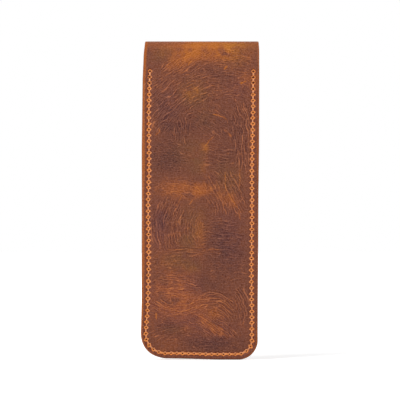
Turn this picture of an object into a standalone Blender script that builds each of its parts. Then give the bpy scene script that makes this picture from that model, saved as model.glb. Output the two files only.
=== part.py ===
"""Leather case for two pens, with a flap that tucks under a band.

Metres, +Z up. The case stands on its bottom end: length along Z, width along X, and the back
panel faces -Y. The origin is the centre of the bounding box at the bottom.
"""

import math

import bmesh
import bpy
from mathutils import Matrix, Vector

# Driving dimensions of the case
CASE_LENGTH = 0.1625
CASE_WIDTH = 0.060
FOLD_WIDTH = 0.0574
FOLD_EASE = 0.018
CORNER_RADIUS = 0.010

# Leather thicknesses and the play between layers
HIDE_THICKNESS = 0.0018
FRONT_THICKNESS = 0.0016
BAND_THICKNESS = 0.0015
DIVIDER_THICKNESS = 0.0011
CLEARANCE = 0.0003
EDGE_ROUNDING = 0.00035

# The two pen channels formed into the front panel
PEN_DEPTH = 0.011
CHANNEL_SPACING = 0.0235
MARGIN_WIDTH = 0.0068
WALL_FULLNESS = 2.2
CHANNEL_END = 0.015
VALLEY_DEPTH = 0.0076
VALLEY_WIDTH = 0.0060
MOUTH_DROP = 0.0125
MOUTH_DIP = 0.0045

# The flap
FOLD_RADIUS = 0.0045
FLAP_REACH = 0.092
SHOULDER_DROP = 0.020
SHOULDER_LENGTH = 0.028
TONGUE_WIDTH = 0.034
TIP_RADIUS = 0.013

# The retaining band
BAND_WIDTH = 0.016
BAND_HEIGHT = 0.098
BAND_SIDE_PLAY = 0.0006
BAND_FOOT_OUT = 0.0018
BAND_FOOT_BEND = 0.0022
BAND_TOP_BEND = 0.0015

# The divider between the pens
DIVIDER_START = 0.024
DIVIDER_DROP = 0.006
DIVIDER_BEND = 0.0014
DIVIDER_SEAM_END = 0.003

# The stitching
SEAM_INSET = 0.0032
SEAM_TOP_DROP = 0.0154
STITCH_PITCH = 0.003
THREAD_RADIUS = 0.00040
HOLE_THREAD_RADIUS = 0.00018

# How finely the curved shapes are divided
CORNER_STEPS = 9
WALL_STEPS = 8
CREST_STEPS = 5
FOLD_STEPS = 8
BEND_STEPS = 5
GROOVE_STEPS = 12
MOUTH_STEPS = 8
SHOULDER_STEPS = 10
SIDE_STEPS = 4

# Which edges are cut edges, and how far a sheet runs past the outline it is trimmed to
CUT_EDGE_ANGLE = math.radians(60)
SHARP_ANGLE = math.radians(40)
TRIM_OVERLAP = 0.003
WELD_DISTANCE = 1e-6

# Sizes that follow from the ones above
HALF_WIDTH = CASE_WIDTH / 2
FOOT_X = HALF_WIDTH - MARGIN_WIDTH
CREST_X = CHANNEL_SPACING / 2
CASE_DEPTH = (HIDE_THICKNESS + CLEARANCE + PEN_DEPTH + FRONT_THICKNESS + CLEARANCE
              + HIDE_THICKNESS + CLEARANCE + BAND_THICKNESS)
BACK_Y = -CASE_DEPTH / 2
LINING_Y = BACK_Y + HIDE_THICKNESS
MARGIN_Y = LINING_Y + CLEARANCE
MARGIN_TOP_Y = MARGIN_Y + FRONT_THICKNESS
TONGUE_Y = MARGIN_TOP_Y + PEN_DEPTH + CLEARANCE
TONGUE_TOP_Y = TONGUE_Y + HIDE_THICKNESS
BAND_Y = TONGUE_TOP_Y + CLEARANCE
MOUTH_Z = CASE_LENGTH - MOUTH_DROP
PANEL_TOP_Z = CASE_LENGTH - FOLD_RADIUS
TIP_Z = CASE_LENGTH - FLAP_REACH
SEAM_TOP_Z = CASE_LENGTH - SEAM_TOP_DROP
SEAM_CORNER_RADIUS = CORNER_RADIUS - SEAM_INSET
GROOVE_RADIUS = THREAD_RADIUS + CLEARANCE

# A fold's hinge axis lies inside the hide, where the leather neither stretches nor shortens
HINGE_DEPTH = FOLD_RADIUS - math.pi / 4 * (FOLD_RADIUS - HIDE_THICKNESS / 2)
HINGE_Z = CASE_LENGTH - HINGE_DEPTH
BACK_HINGE = Vector((0, BACK_Y + HINGE_DEPTH, HINGE_Z))
FRONT_HINGE = Vector((0, TONGUE_TOP_Y - HINGE_DEPTH, HINGE_Z))

# Colours of the leather and the thread, linear
HIDE_BROWN = (0.190, 0.066, 0.036)
FORMED_BROWN = (0.165, 0.056, 0.031)
INNER_TAN = (0.300, 0.150, 0.075)
BAND_BROWN = (0.150, 0.050, 0.028)
THREAD_ORANGE = (0.740, 0.260, 0.065)


def remove_everything():
    """Empty the scene."""
    for old in list(bpy.data.objects):
        bpy.data.objects.remove(old, do_unlink=True)


def new_collection(name):
    """Add a collection to the scene."""
    collection = bpy.data.collections.new(name)
    bpy.context.scene.collection.children.link(collection)
    return collection


def new_material(name, colour, roughness):
    """Make a Principled material of one colour."""
    material = bpy.data.materials.new(name)
    material.use_nodes = True
    shader = material.node_tree.nodes["Principled BSDF"]
    shader.inputs["Base Color"].default_value = (*colour, 1)
    shader.inputs["Roughness"].default_value = roughness
    shader.inputs["Metallic"].default_value = 0.0
    return material


def add_object(name, data, collection, colour=None, roughness=0.6):
    """Link an object and give it its own material."""
    obj = bpy.data.objects.new(name, data)
    collection.objects.link(obj)
    if colour is not None:
        data.materials.append(new_material(name, colour, roughness))
    return obj


def half_width(z):
    """Half the width of the back at a height: it eases in towards the fold."""
    into_ease = max(0.0, 1 - (CASE_LENGTH - z) / FOLD_EASE)
    return HALF_WIDTH - (CASE_WIDTH - FOLD_WIDTH) / 2 * into_ease ** 2


def steps(start, end, count):
    """Evenly spaced values after start, up to and including end."""
    return [start + (end - start) * i / count for i in range(1, count + 1)]


def bottom_corner():
    """The right bottom corner of the case's outline, from the side down to the bottom edge."""
    points = []
    for i in range(CORNER_STEPS + 1):
        angle = -math.pi / 2 * i / CORNER_STEPS
        x = HALF_WIDTH - CORNER_RADIUS * (1 - math.cos(angle))
        z = CORNER_RADIUS * (1 + math.sin(angle))
        points.append((x, z))
    return points


def mirrored(right_half):
    """Close an outline: the right half, top to bottom, then its mirror image, bottom to top."""
    left_half = [(-x, z) for x, z in reversed(right_half) if x > 0]
    return right_half + left_half


def case_outline(top_z, top_points):
    """The case's outline below top_z; top_points run along its top edge from the middle out."""
    ease_bottom = CASE_LENGTH - FOLD_EASE
    side = [(half_width(z), z) for z in steps(top_z, ease_bottom, SIDE_STEPS)]
    return mirrored(top_points + [(half_width(top_z), top_z)] + side + bottom_corner())


def back_outline():
    """The back panel, up to where the hide starts to bend."""
    return case_outline(PANEL_TOP_Z - CLEARANCE, [])


def front_outline():
    """The front panel, with its mouth dipping in the middle so that the pens can be gripped."""
    mouth = []
    for i in range(MOUTH_STEPS):
        across = i / MOUTH_STEPS
        dip = MOUTH_DIP * (0.5 + 0.5 * math.cos(math.pi * across))
        mouth.append((half_width(MOUTH_Z) * across, MOUTH_Z - dip))
    return case_outline(MOUTH_Z, mouth)


def tongue_outline():
    """The flap's tongue: wide shoulders over the mouth, drawn in to a narrow rounded end."""
    right = []
    for i in range(SHOULDER_STEPS + 1):
        t = i / SHOULDER_STEPS
        ease = 0.5 - 0.5 * math.cos(math.pi * t)
        x = FOLD_WIDTH / 2 - (FOLD_WIDTH - TONGUE_WIDTH) / 2 * ease
        right.append((x, CASE_LENGTH - SHOULDER_DROP - SHOULDER_LENGTH * t))
    for i in range(CORNER_STEPS + 1):
        angle = -math.pi / 2 * i / CORNER_STEPS
        x = TONGUE_WIDTH / 2 - TIP_RADIUS * (1 - math.cos(angle))
        right.append((x, TIP_Z + TIP_RADIUS * (1 + math.sin(angle))))
    return mirrored([(FOLD_WIDTH / 2, PANEL_TOP_Z - CLEARANCE)] + right)


def flat_curve(name, outline, inner_y, thickness, collection):
    """A filled outline in the XZ plane, as thick as the leather, from inner_y towards +Y."""
    data = bpy.data.curves.new(name, "CURVE")
    data.dimensions = "2D"
    data.fill_mode = "BOTH"
    data.extrude = thickness / 2
    spline = data.splines.new("POLY")
    spline.points.add(len(outline) - 1)
    for point, (x, z) in zip(spline.points, outline):
        point.co = (x, z, 0, 1)
    spline.use_cyclic_u = True
    obj = add_object(name, data, collection)
    obj.rotation_euler = (math.pi / 2, 0, 0)
    obj.location = (0, inner_y + thickness / 2, 0)
    return obj


def curve_to_mesh(curve, colour=None):
    """Replace a curve object by its mesh, caps welded, with its place in the mesh."""
    bpy.context.view_layer.update()
    evaluated = curve.evaluated_get(bpy.context.evaluated_depsgraph_get())
    mesh = bpy.data.meshes.new_from_object(evaluated)
    mesh.transform(curve.matrix_world)
    name = curve.name
    collection = curve.users_collection[0]
    bpy.data.objects.remove(curve, do_unlink=True)
    shape = bmesh.new()
    shape.from_mesh(mesh)
    bmesh.ops.remove_doubles(shape, verts=shape.verts, dist=WELD_DISTANCE)
    bmesh.ops.recalc_face_normals(shape, faces=shape.faces)
    shape.to_mesh(mesh)
    shape.free()
    return add_object(name, mesh, collection, colour)


def round_edges(obj):
    """Break the sharp cut edges of a leather piece."""
    bevel = obj.modifiers.new("edge_rounding", "BEVEL")
    bevel.width = EDGE_ROUNDING
    bevel.segments = 1
    bevel.limit_method = "ANGLE"
    bevel.angle_limit = CUT_EDGE_ANGLE


def smooth(obj):
    """Shade a curved piece smooth, with its cut edges left sharp."""
    obj.data.shade_smooth()
    obj.data.set_sharp_from_angle(angle=SHARP_ANGLE)


def panel(name, outline, inner_y, colour, collection):
    """A flat hide panel with broken edges."""
    obj = curve_to_mesh(flat_curve(name, outline, inner_y, HIDE_THICKNESS, collection), colour)
    round_edges(obj)
    return obj


def sheet(name, columns, rows, place, thickness, offset, colour, collection):
    """An open grid whose vertices go where place(column, row) says, thickened with Solidify."""
    shape = bmesh.new()
    bmesh.ops.create_grid(shape, x_segments=len(columns) - 1, y_segments=len(rows) - 1, size=1)
    for vert in shape.verts:
        column = round((vert.co.x + 1) / 2 * (len(columns) - 1))
        row = round((vert.co.y + 1) / 2 * (len(rows) - 1))
        vert.co = place(columns[column], rows[row])
    mesh = bpy.data.meshes.new(name)
    shape.to_mesh(mesh)
    shape.free()
    obj = add_object(name, mesh, collection, colour)
    smooth(obj)
    solidify = obj.modifiers.new("leather", "SOLIDIFY")
    solidify.thickness = thickness
    solidify.offset = offset
    return obj


def cut(obj, cutter, operation="DIFFERENCE"):
    """Cut a piece with another object, or trim it to it."""
    boolean = obj.modifiers.new(cutter.name, "BOOLEAN")
    boolean.operation = operation
    boolean.solver = "EXACT"
    boolean.object = cutter
    cutter.hide_render = True
    cutter.display_type = "WIRE"


def tube(name, points, radii, resolution, collection):
    """A capped tube along points, with its own radius at each."""
    data = bpy.data.curves.new(name, "CURVE")
    data.dimensions = "3D"
    data.bevel_depth = 1.0
    data.bevel_resolution = resolution
    data.use_fill_caps = True
    spline = data.splines.new("POLY")
    spline.points.add(len(points) - 1)
    for point, place, radius in zip(spline.points, points, radii):
        point.co = (*place, 1)
        point.radius = radius
    return add_object(name, data, collection)


def rounded_path(points, radii, count=BEND_STEPS):
    """A flat path through points, each inner corner rounded with its radius in count steps."""
    path = [Vector(points[0])]
    for i, radius in enumerate(radii, start=1):
        corner = Vector(points[i])
        back = (Vector(points[i - 1]) - corner).normalized()
        on = (Vector(points[i + 1]) - corner).normalized()
        half_angle = back.angle(on) / 2
        centre = corner + (back + on).normalized() * radius / math.sin(half_angle)
        first = (corner + back * radius / math.tan(half_angle) - centre).normalized()
        last = (corner + on * radius / math.tan(half_angle) - centre).normalized()
        for k in range(count + 1):
            path.append(centre + radius * first.slerp(last, k / count))
    path.append(Vector(points[-1]))
    return path


def fullness(share):
    """How a channel's wall rises from its foot (0) to its crest (1): steep, then rounding over."""
    share = min(max(share, 0.0), 1.0)
    return 1 - (1 - share) ** WALL_FULLNESS


def channel_depth(x, z):
    """Depth of the pen space at a place on the front panel, measured from its sewn margin."""
    reach = abs(x)
    valley_edge = VALLEY_WIDTH / 2
    if reach >= CREST_X:
        depth = PEN_DEPTH * fullness((FOOT_X - reach) / (FOOT_X - CREST_X))
    else:
        up_from_valley = max(0.0, (reach - valley_edge) / (CREST_X - valley_edge))
        depth = VALLEY_DEPTH + (PEN_DEPTH - VALLEY_DEPTH) * math.sin(math.pi / 2 * up_from_valley)
    return depth * fullness((z - MARGIN_WIDTH) / CHANNEL_END)


def mirrored_stations(half):
    """Stations on both sides of the middle, from half of them running outwards from it."""
    return [-x for x in reversed(half) if x > 0] + half


def front_panel(parts, cutters):
    """The formed front panel: a sheet raised into two channels, trimmed to the case's outline."""
    columns = [0.0, VALLEY_WIDTH / 2]
    columns += steps(VALLEY_WIDTH / 2, CREST_X, CREST_STEPS)
    columns += steps(CREST_X, FOOT_X, WALL_STEPS)
    columns += [HALF_WIDTH + TRIM_OVERLAP]
    rows = [-TRIM_OVERLAP, MARGIN_WIDTH]
    rows += steps(MARGIN_WIDTH, MARGIN_WIDTH + CHANNEL_END, WALL_STEPS)
    rows += [MOUTH_Z + TRIM_OVERLAP]

    def place(x, z):
        return x, MARGIN_Y + channel_depth(x, z), z

    piece = sheet("front_panel", mirrored_stations(columns), rows, place, FRONT_THICKNESS, -1,
                  FORMED_BROWN, parts)
    deep = 2 * CASE_DEPTH
    outline = flat_curve("front_outline", front_outline(), -deep / 2, deep, cutters)
    cut(piece, curve_to_mesh(outline), "INTERSECT")
    return piece


def seam_stations():
    """Places along the U seam, half a stitch apart, as (x, z) from the left top round to the right."""
    side_x = HALF_WIDTH - SEAM_INSET
    radius = SEAM_CORNER_RADIUS
    straight = SEAM_TOP_Z - SEAM_INSET - radius
    arc = math.pi / 2 * radius
    bottom = 2 * (side_x - radius)
    length = 2 * straight + 2 * arc + bottom
    stitches = round(length / STITCH_PITCH)
    places = []
    for i in range(2 * stitches + 1):
        along = length * i / (2 * stitches)
        left = along <= length / 2
        down = along if left else length - along
        if down <= straight:
            x = side_x
            z = SEAM_TOP_Z - down
        elif down <= straight + arc:
            angle = (down - straight) / radius
            x = side_x - radius * (1 - math.cos(angle))
            z = SEAM_INSET + radius * (1 - math.sin(angle))
        else:
            x = side_x - radius - (down - straight - arc)
            z = SEAM_INSET
        places.append((-x if left else x, z))
    return places


def stitch_radii(count):
    """The thread is thin at every hole and full at the middle of every stitch."""
    return [THREAD_RADIUS if i % 2 else HOLE_THREAD_RADIUS for i in range(count)]


def groove(name, y, obj, cutters):
    """Cut the groove that the thread lies in, a little longer than the seam at both ends."""
    side_x = HALF_WIDTH - SEAM_INSET
    top_z = SEAM_TOP_Z + GROOVE_RADIUS
    corners = [(-side_x, top_z), (-side_x, SEAM_INSET), (side_x, SEAM_INSET), (side_x, top_z)]
    path = rounded_path(corners, [SEAM_CORNER_RADIUS] * 2, GROOVE_STEPS)
    points = [(place.x, y, place.y) for place in path]
    cutter = tube(name, points, [GROOVE_RADIUS] * len(points), 1, cutters)
    cut(obj, curve_to_mesh(cutter))


def front_thread_y(z):
    """Height of the front thread: sunk in the margin, and lifted over the band's sewn end."""
    lift_reach = BAND_WIDTH / 2 + STITCH_PITCH / 2 + THREAD_RADIUS + CLEARANCE
    if abs(z - BAND_HEIGHT) < lift_reach:
        return MARGIN_TOP_Y + CLEARANCE + BAND_THICKNESS + CLEARANCE + THREAD_RADIUS
    return MARGIN_TOP_Y - THREAD_RADIUS


def retaining_band(parts):
    """The band: caught in both side seams, up over the channels' walls and across the tongue."""
    foot_x = FOOT_X + BAND_FOOT_OUT
    edge_x = TONGUE_WIDTH / 2 + BAND_SIDE_PLAY
    foot_y = MARGIN_TOP_Y + CLEARANCE
    corners = [(HALF_WIDTH, foot_y), (foot_x, foot_y), (edge_x, BAND_Y), (-edge_x, BAND_Y),
               (-foot_x, foot_y), (-HALF_WIDTH, foot_y)]
    bends = [BAND_FOOT_BEND, BAND_TOP_BEND, BAND_TOP_BEND, BAND_FOOT_BEND]
    path = rounded_path(corners, bends)
    heights = [BAND_HEIGHT - BAND_WIDTH / 2, BAND_HEIGHT + BAND_WIDTH / 2]

    def place(point, z):
        return point.x, point.y, z

    return sheet("retaining_band", path, heights, place, BAND_THICKNESS, 1, BAND_BROWN, parts)


def pen_divider(parts):
    """The L-shaped divider: a flange sewn in the valley, and a web that leans to the back."""
    flange_y = MARGIN_Y + VALLEY_DEPTH - CLEARANCE
    flange_x = VALLEY_WIDTH / 2
    web_x = -DIVIDER_THICKNESS / 2
    corners = [(flange_x, flange_y), (-flange_x, flange_y), (web_x, LINING_Y + CLEARANCE)]
    path = rounded_path(corners, [DIVIDER_BEND])
    heights = [DIVIDER_START, MOUTH_Z - MOUTH_DIP - DIVIDER_DROP]

    def place(point, z):
        return point.x, point.y, z

    return sheet("pen_divider", path, heights, place, DIVIDER_THICKNESS, -1, INNER_TAN, parts)


def fold(name, centre_y, facing, width_at, parts):
    """A quarter bend of the hide; facing is -1 where its outer face turns from the back."""
    angles = [0.0] + steps(0.0, math.pi / 2, FOLD_STEPS)

    def place(side, angle):
        z = PANEL_TOP_Z + FOLD_RADIUS * math.sin(angle)
        y = centre_y + facing * FOLD_RADIUS * math.cos(angle)
        return side * width_at(z), y, z

    sides = [-1, 1] if facing < 0 else [1, -1]
    return sheet(name, sides, angles, place, HIDE_THICKNESS, -1, HIDE_BROWN, parts)


def flap_top(parts):
    """The flat middle of the flap's top, from one bend to the other."""
    start = BACK_Y + FOLD_RADIUS + CLEARANCE
    end = TONGUE_TOP_Y - FOLD_RADIUS - CLEARANCE
    shape = bmesh.new()
    bmesh.ops.create_cube(shape, size=1)
    size = Vector((FOLD_WIDTH, end - start, HIDE_THICKNESS))
    middle = Vector((0, (start + end) / 2, CASE_LENGTH - HIDE_THICKNESS / 2))
    bmesh.ops.transform(shape, matrix=Matrix.LocRotScale(middle, None, size), verts=shape.verts)
    mesh = bpy.data.meshes.new("flap_top")
    shape.to_mesh(mesh)
    shape.free()
    obj = add_object("flap_top", mesh, parts, HIDE_BROWN)
    return obj


def thread(name, points, parts):
    """A seam's thread, one bead for each stitch."""
    obj = tube(name, points, stitch_radii(len(points)), 1, parts)
    return curve_to_mesh(obj, THREAD_ORANGE)


def straight_seam(y, bottom_z, top_z):
    """Half stitches along the middle of the front."""
    count = 2 * round((top_z - bottom_z) / STITCH_PITCH)
    return [(0, y, bottom_z + (top_z - bottom_z) * i / count) for i in range(count + 1)]


def hinge_empty(name, place, parent, parts):
    """An empty on a fold's hinge axis, which the moving pieces hang on."""
    empty = bpy.data.objects.new(name, None)
    empty.empty_display_type = "SINGLE_ARROW"
    empty.empty_display_size = CASE_WIDTH / 2
    parts.objects.link(empty)
    empty.location = place - (parent.location if parent else Vector())
    empty.parent = parent
    return empty


def hang(obj, empty):
    """Parent a piece to a hinge's empty, where it is."""
    bpy.context.view_layer.update()
    obj.parent = empty
    obj.matrix_parent_inverse = empty.matrix_world.inverted()


def main():
    remove_everything()
    parts = new_collection("double_pen_case")
    cutters = new_collection("cutters")
    seam = seam_stations()

    back = panel("back_panel", back_outline(), BACK_Y, HIDE_BROWN, parts)
    groove("back_groove", BACK_Y + THREAD_RADIUS, back, cutters)
    front = front_panel(parts, cutters)
    groove("front_groove", MARGIN_TOP_Y - THREAD_RADIUS, front, cutters)
    retaining_band(parts)
    pen_divider(parts)

    thread("back_seam_thread", [(x, BACK_Y + THREAD_RADIUS, z) for x, z in seam], parts)
    thread("front_seam_thread", [(x, front_thread_y(z), z) for x, z in seam], parts)
    valley_y = MARGIN_Y + VALLEY_DEPTH + FRONT_THICKNESS
    seam_bottom = DIVIDER_START + DIVIDER_SEAM_END
    seam_top = MOUTH_Z - MOUTH_DIP - DIVIDER_DROP - DIVIDER_SEAM_END
    over = valley_y + CLEARANCE + THREAD_RADIUS
    thread("divider_seam_thread", straight_seam(over, seam_bottom, seam_top), parts)
    under = MARGIN_Y + VALLEY_DEPTH - DIVIDER_THICKNESS - 2 * CLEARANCE - THREAD_RADIUS
    thread("divider_seam_thread_inside", straight_seam(under, seam_bottom, seam_top), parts)

    fold("back_fold", BACK_Y + FOLD_RADIUS, -1, half_width, parts)
    bridge = flap_top(parts)
    front_bend = fold("front_fold", TONGUE_TOP_Y - FOLD_RADIUS, 1, lambda z: FOLD_WIDTH / 2, parts)
    tongue = panel("flap_tongue", tongue_outline(), TONGUE_Y, HIDE_BROWN, parts)

    back_hinge = hinge_empty("back_fold_axis", BACK_HINGE, None, parts)
    front_hinge = hinge_empty("front_fold_axis", FRONT_HINGE, back_hinge, parts)
    hang(bridge, back_hinge)
    hang(front_bend, back_hinge)
    hang(tongue, front_hinge)


main()
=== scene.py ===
"""Leather case for two pens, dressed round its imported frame.

Metres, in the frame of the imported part: +Z runs up the case to its fold, and the plain back that the
camera looks at faces -Y. Leather is laid out flat in millimetres, across and up from the bottom end, and
its maps keep those places: "Hide" holds them in metres, "Seam" holds stitches down the side and
millimetres in from the cut edge.
"""

import math
import random
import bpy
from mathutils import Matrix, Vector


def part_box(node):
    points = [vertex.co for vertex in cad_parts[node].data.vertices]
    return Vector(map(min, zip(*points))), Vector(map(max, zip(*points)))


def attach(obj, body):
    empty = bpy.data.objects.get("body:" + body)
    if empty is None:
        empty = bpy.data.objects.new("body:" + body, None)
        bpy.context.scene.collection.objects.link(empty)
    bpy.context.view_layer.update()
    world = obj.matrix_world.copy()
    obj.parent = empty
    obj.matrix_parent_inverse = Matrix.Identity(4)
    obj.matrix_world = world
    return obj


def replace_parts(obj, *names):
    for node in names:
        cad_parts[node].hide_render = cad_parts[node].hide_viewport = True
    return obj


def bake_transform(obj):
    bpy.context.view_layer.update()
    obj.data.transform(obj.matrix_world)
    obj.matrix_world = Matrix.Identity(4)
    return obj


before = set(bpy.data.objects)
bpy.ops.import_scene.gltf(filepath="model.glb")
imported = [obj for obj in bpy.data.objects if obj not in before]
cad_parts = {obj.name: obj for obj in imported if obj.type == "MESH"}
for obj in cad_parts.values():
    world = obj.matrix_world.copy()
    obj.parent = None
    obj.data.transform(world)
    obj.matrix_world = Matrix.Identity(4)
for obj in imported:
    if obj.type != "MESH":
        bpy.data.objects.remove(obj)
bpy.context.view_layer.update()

import types

import bmesh
import bpy
import numpy as np
from mathutils import Vector

bl_info = {
    "name": "Double Pen Case",
    "version": (1, 0, 0),
    "blender": (4, 5, 0),
    "location": "View3D > Sidebar > Pen Case",
    "description": "Leather case for two pens, built round its packed frame",
    "category": "Object",
}

MM = 0.001
CAD_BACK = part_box("back_panel")
CAD_FLAP_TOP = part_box("flap_top")
CAD_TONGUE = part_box("flap_tongue")
CAD_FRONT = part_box("front_panel")
CAD_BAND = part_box("retaining_band")
CAD_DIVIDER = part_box("pen_divider")
CAD_DIVIDER_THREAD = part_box("divider_seam_thread")
CAD_INNER_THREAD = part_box("divider_seam_thread_inside")

# Where the leather's layers lie, in millimetres, as the frame has them
BACK_Y = CAD_BACK[0][1] / MM
LINING_Y = CAD_BACK[1][1] / MM
TONGUE_TOP_Y = CAD_TONGUE[1][1] / MM
TOP_Z = CAD_FLAP_TOP[1][2] / MM
TIP_Z = CAD_TONGUE[0][2] / MM
MOUTH_Z = CAD_FRONT[1][2] / MM
BAND_LOW_Z = CAD_BAND[0][2] / MM
BAND_HIGH_Z = CAD_BAND[1][2] / MM
BAND_TOP_Y = CAD_BAND[1][1] / MM
MARGIN_Y = CAD_FRONT[0][1] / MM

# The front's sewn margin, the gap between two layers, and half of the case's width
MARGIN_THICKNESS = 1.6
MARGIN_TOP_Y = MARGIN_Y + MARGIN_THICKNESS
LAYER_GAP = 0.3
HALF_WIDTH = 30.0

# Rings of vertices round a rounded end: how far each lies from the cut edge. Those past the seam's zone
# are drawn in or out to fit the corner.
RING_INSETS = (0, 0.45, 0.9, 1.4, 1.9, 2.35, 2.75, 3.2, 3.65, 4.05, 4.5, 5.2, 5.9, 6.4, 6.8, 7.2, 7.6,
               8.0, 8.5, 9.0, 9.5, 10.0)
RINGS = len(RING_INSETS) - 1
SEAM_ZONE = 5.2
# Columns between the rings, and how far apart the rows of each piece are
MIDDLE_COLUMNS = 74
HIDE_STEP = 0.5
FRONT_STEP = 0.6
BAND_STEP = 0.55
DIVIDER_STEP = 1.5

STITCHES_A_SIDE = 56
STITCH_PITCH = 3.0
# What the Seam map holds down the seam for leather that has none
UNSEWN = -2.0
# A stitch's loop: half its length, its cord's radius where it is pulled tight and where it is slack, its
# diamond's two sizes across and along the seam, how flat it lies and how far its middle dips; then the
# size of its bar, and the length of a turn of the thread's twist
LOOP_REACH = 1.35
TIGHT_CORD = 0.49
SLACK_CORD = 0.34
LOOP_ACROSS = 1.37
LOOP_ALONG = 0.90
LOOP_FLATNESS = 0.58
LOOP_DIP = 0.14
BAR_SIZE = (0.42, 1.15, 0.34)
THREAD_TWIST = 0.9
# How deep the threads lie in the back's face and in the front's margin, how high they lie over the band's
# sewn ends, and how near the band they start to climb
BACK_THREAD_SINK = 0.22
FRONT_THREAD_SINK = 0.1
BAND_CLIMB = 1.9
BAND_CLEAR = 1.6

# To which side of a sheet its thickness is laid, against its normals or along them
INWARDS = -1
OUTWARDS = 1
# How far each cut edge is broken, past which angle an edge is hard, and how deep and wide it is skived
EDGE_BREAK = 0.28
EDGE_ANGLE = math.radians(50)
SKIVE_DEPTH = 0.42
SKIVE_WIDTH = 1.3
# The stitches' groove and dimples, and where the leather puffs up beside them: how far in from the seam,
# how high and how wide
GROOVE_WIDTH = 0.85
DIMPLE_DEPTH = 0.30
DIMPLE_SIZE = 0.7
PUFFS = ((2.1, 0.13, 1.0), (-1.7, 0.10, 0.7))
# How much higher the bottom is cut at the left, how high the ridge down the back and the deep creases
# stand, how far the flap's shoulders hang down to the front, and how strong the creases are between
# their patches
BOTTOM_SLANT = 0.66
SPINE_RELIEF = 0.28
CREASE_RELIEF = 0.12
SHOULDER_DRAPE = 2.0
BARE_CREASES = 0.14
# How wide the back's rubbed rim is at its left and right edges; it is partly a painted highlight, and so
# wider at the left
LEFT_RIM = 1.2
RIGHT_RIM = 0.6
# Along the hide: the middle of the flap's top, and how far from it the leather is rubbed bright at the
# bends, where a painted highlight lies as well
TOP_MIDDLE = 169.0
PULLED_AND_LIT_BEND = 7.0
# Along the hide: where its edge stops being skived before the bends, and where it is skived again
SKIVING_ENDS = (150, 158)
SKIVING_STARTS = (188, 178)
# How far a bend's give reaches past it, over the flap's top and down the back or the tongue
BEND_REACH_TOP = 1.1
BEND_REACH_DOWN = 2.5

# How often the front's height is evened out, and how far down from its mouth it dips
FORMING_ROUNDS = 4
MOUTH_REACH = 34
# The band's path: how far its foot stands out from the channels, its room for the tongue and its bends;
# then the line creased along its edges: depth, inset and width
BAND_FOOT_OUT = 1.8
BAND_PLAY = 1.5
BAND_BENDS = (3.4, 3.0, 3.0, 3.4)
BAND_CREASE = (0.16, 2.0, 0.35)
# The divider's bend and how near it comes to the back; then the steps along a bent strip's path
DIVIDER_BEND = 1.4
DIVIDER_FOOT_GAP = 0.1
PATH_STEP = 0.6
BEND_STEPS = 12

# How the leather's colour is multiplied where it is yellower and rosier, what its specks (painted glints on
# the grain) and its creases add to it, and how dark it gets at most
KHAKI_TINT = (0.93, 1.18, 0.84)
ROSY_TINT = (0.98, 0.98, 1.45)
SPECK_GLINT = (0.130, 0.090, 0.084)
CREASE_LIGHT = (0.345, 0.160, 0.098)
DARKEST = (0.01, 0.004, 0.002)

# Where the photograph was taken from, in metres, and the lens that frames the case as it does
CAMERA_PLACE = (-0.00008, BACK_Y * MM - 2.0, 0.08146)
CAMERA_LENS = 353.1
# Name, place, size and power of each lamp, all aimed at the case's middle
LAMPS = (("key", (-1.1, -1.3, 1.35), 1.0, 34.0), ("fill", (1.3, -1.2, 0.5), 1.5, 6.0),
         ("back", (0.3, 1.5, 1.2), 1.5, 14.0))
LAMP_AIM = (0, 0, 0.08)
# How strongly the room lights the case, the floor's grey and the white of what the camera sees
ROOM_LIGHT = 0.28
FLOOR_GREY = (0.82, 0.82, 0.82, 1.0)
WHITE = (1.0, 1.0, 1.0, 1.0)
# Which properties of a group are Blender's own
OWN_NAMES = ("rna_type", "name")

# The cut edges as they lie: distance along the hide, then how far out the left and right edges stand
HIDE_EDGES = ((0, 30.0, 29.4), (14, 30.3, 29.45), (30, 29.9, 29.5), (85, 29.8, 29.8), (108, 29.85, 30.1),
              (143, 29.4, 30.2), (155, 28.9, 30.2), (159.5, 28.5, 30.1), (165, 28.1, 29.9),
              (173, 28.0, 29.8), (180, 28.1, 29.5), (196, 28.5, 28.8))
# Where the seam was sewn off its line: stitches down it, then how far in from the left and right edges
SEAM_DRIFT = ((0, 0.50, -0.15), (7, 0.25, 0.0), (13, 0.62, 0.32), (17, 0.60, 0.32), (22.5, 0.05, 0.12),
              (30, 0.45, 0.15), (34, 0.42, 0.25), (39, 0.10, 0.05), (42, -0.15, -0.10),
              (44, -0.50, -0.15), (46, -0.75, -0.20), (49, -0.65, -0.25), (52, -0.50, -0.35),
              (56, -0.50, -0.50))


def smoothstep(low, high, value):
    """0 below low, 1 above high, and an eased rise between."""
    share = np.clip((value - low) / (high - low), 0, 1)
    return share * share * (3 - 2 * share)


def bell(value, width):
    """1 at value 0, falling away on both sides over the width."""
    return np.exp(-(value / width) ** 2)


def length_setting(name, description, default):
    """A length that a user would change, its default in millimetres."""
    return bpy.props.FloatProperty(name=name, description=description, default=default * MM,
                                   subtype="DISTANCE")


def colour_setting(name, description, default):
    """A colour that a user would change."""
    return bpy.props.FloatVectorProperty(name=name, description=description, default=default,
                                         subtype="COLOR")


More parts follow.
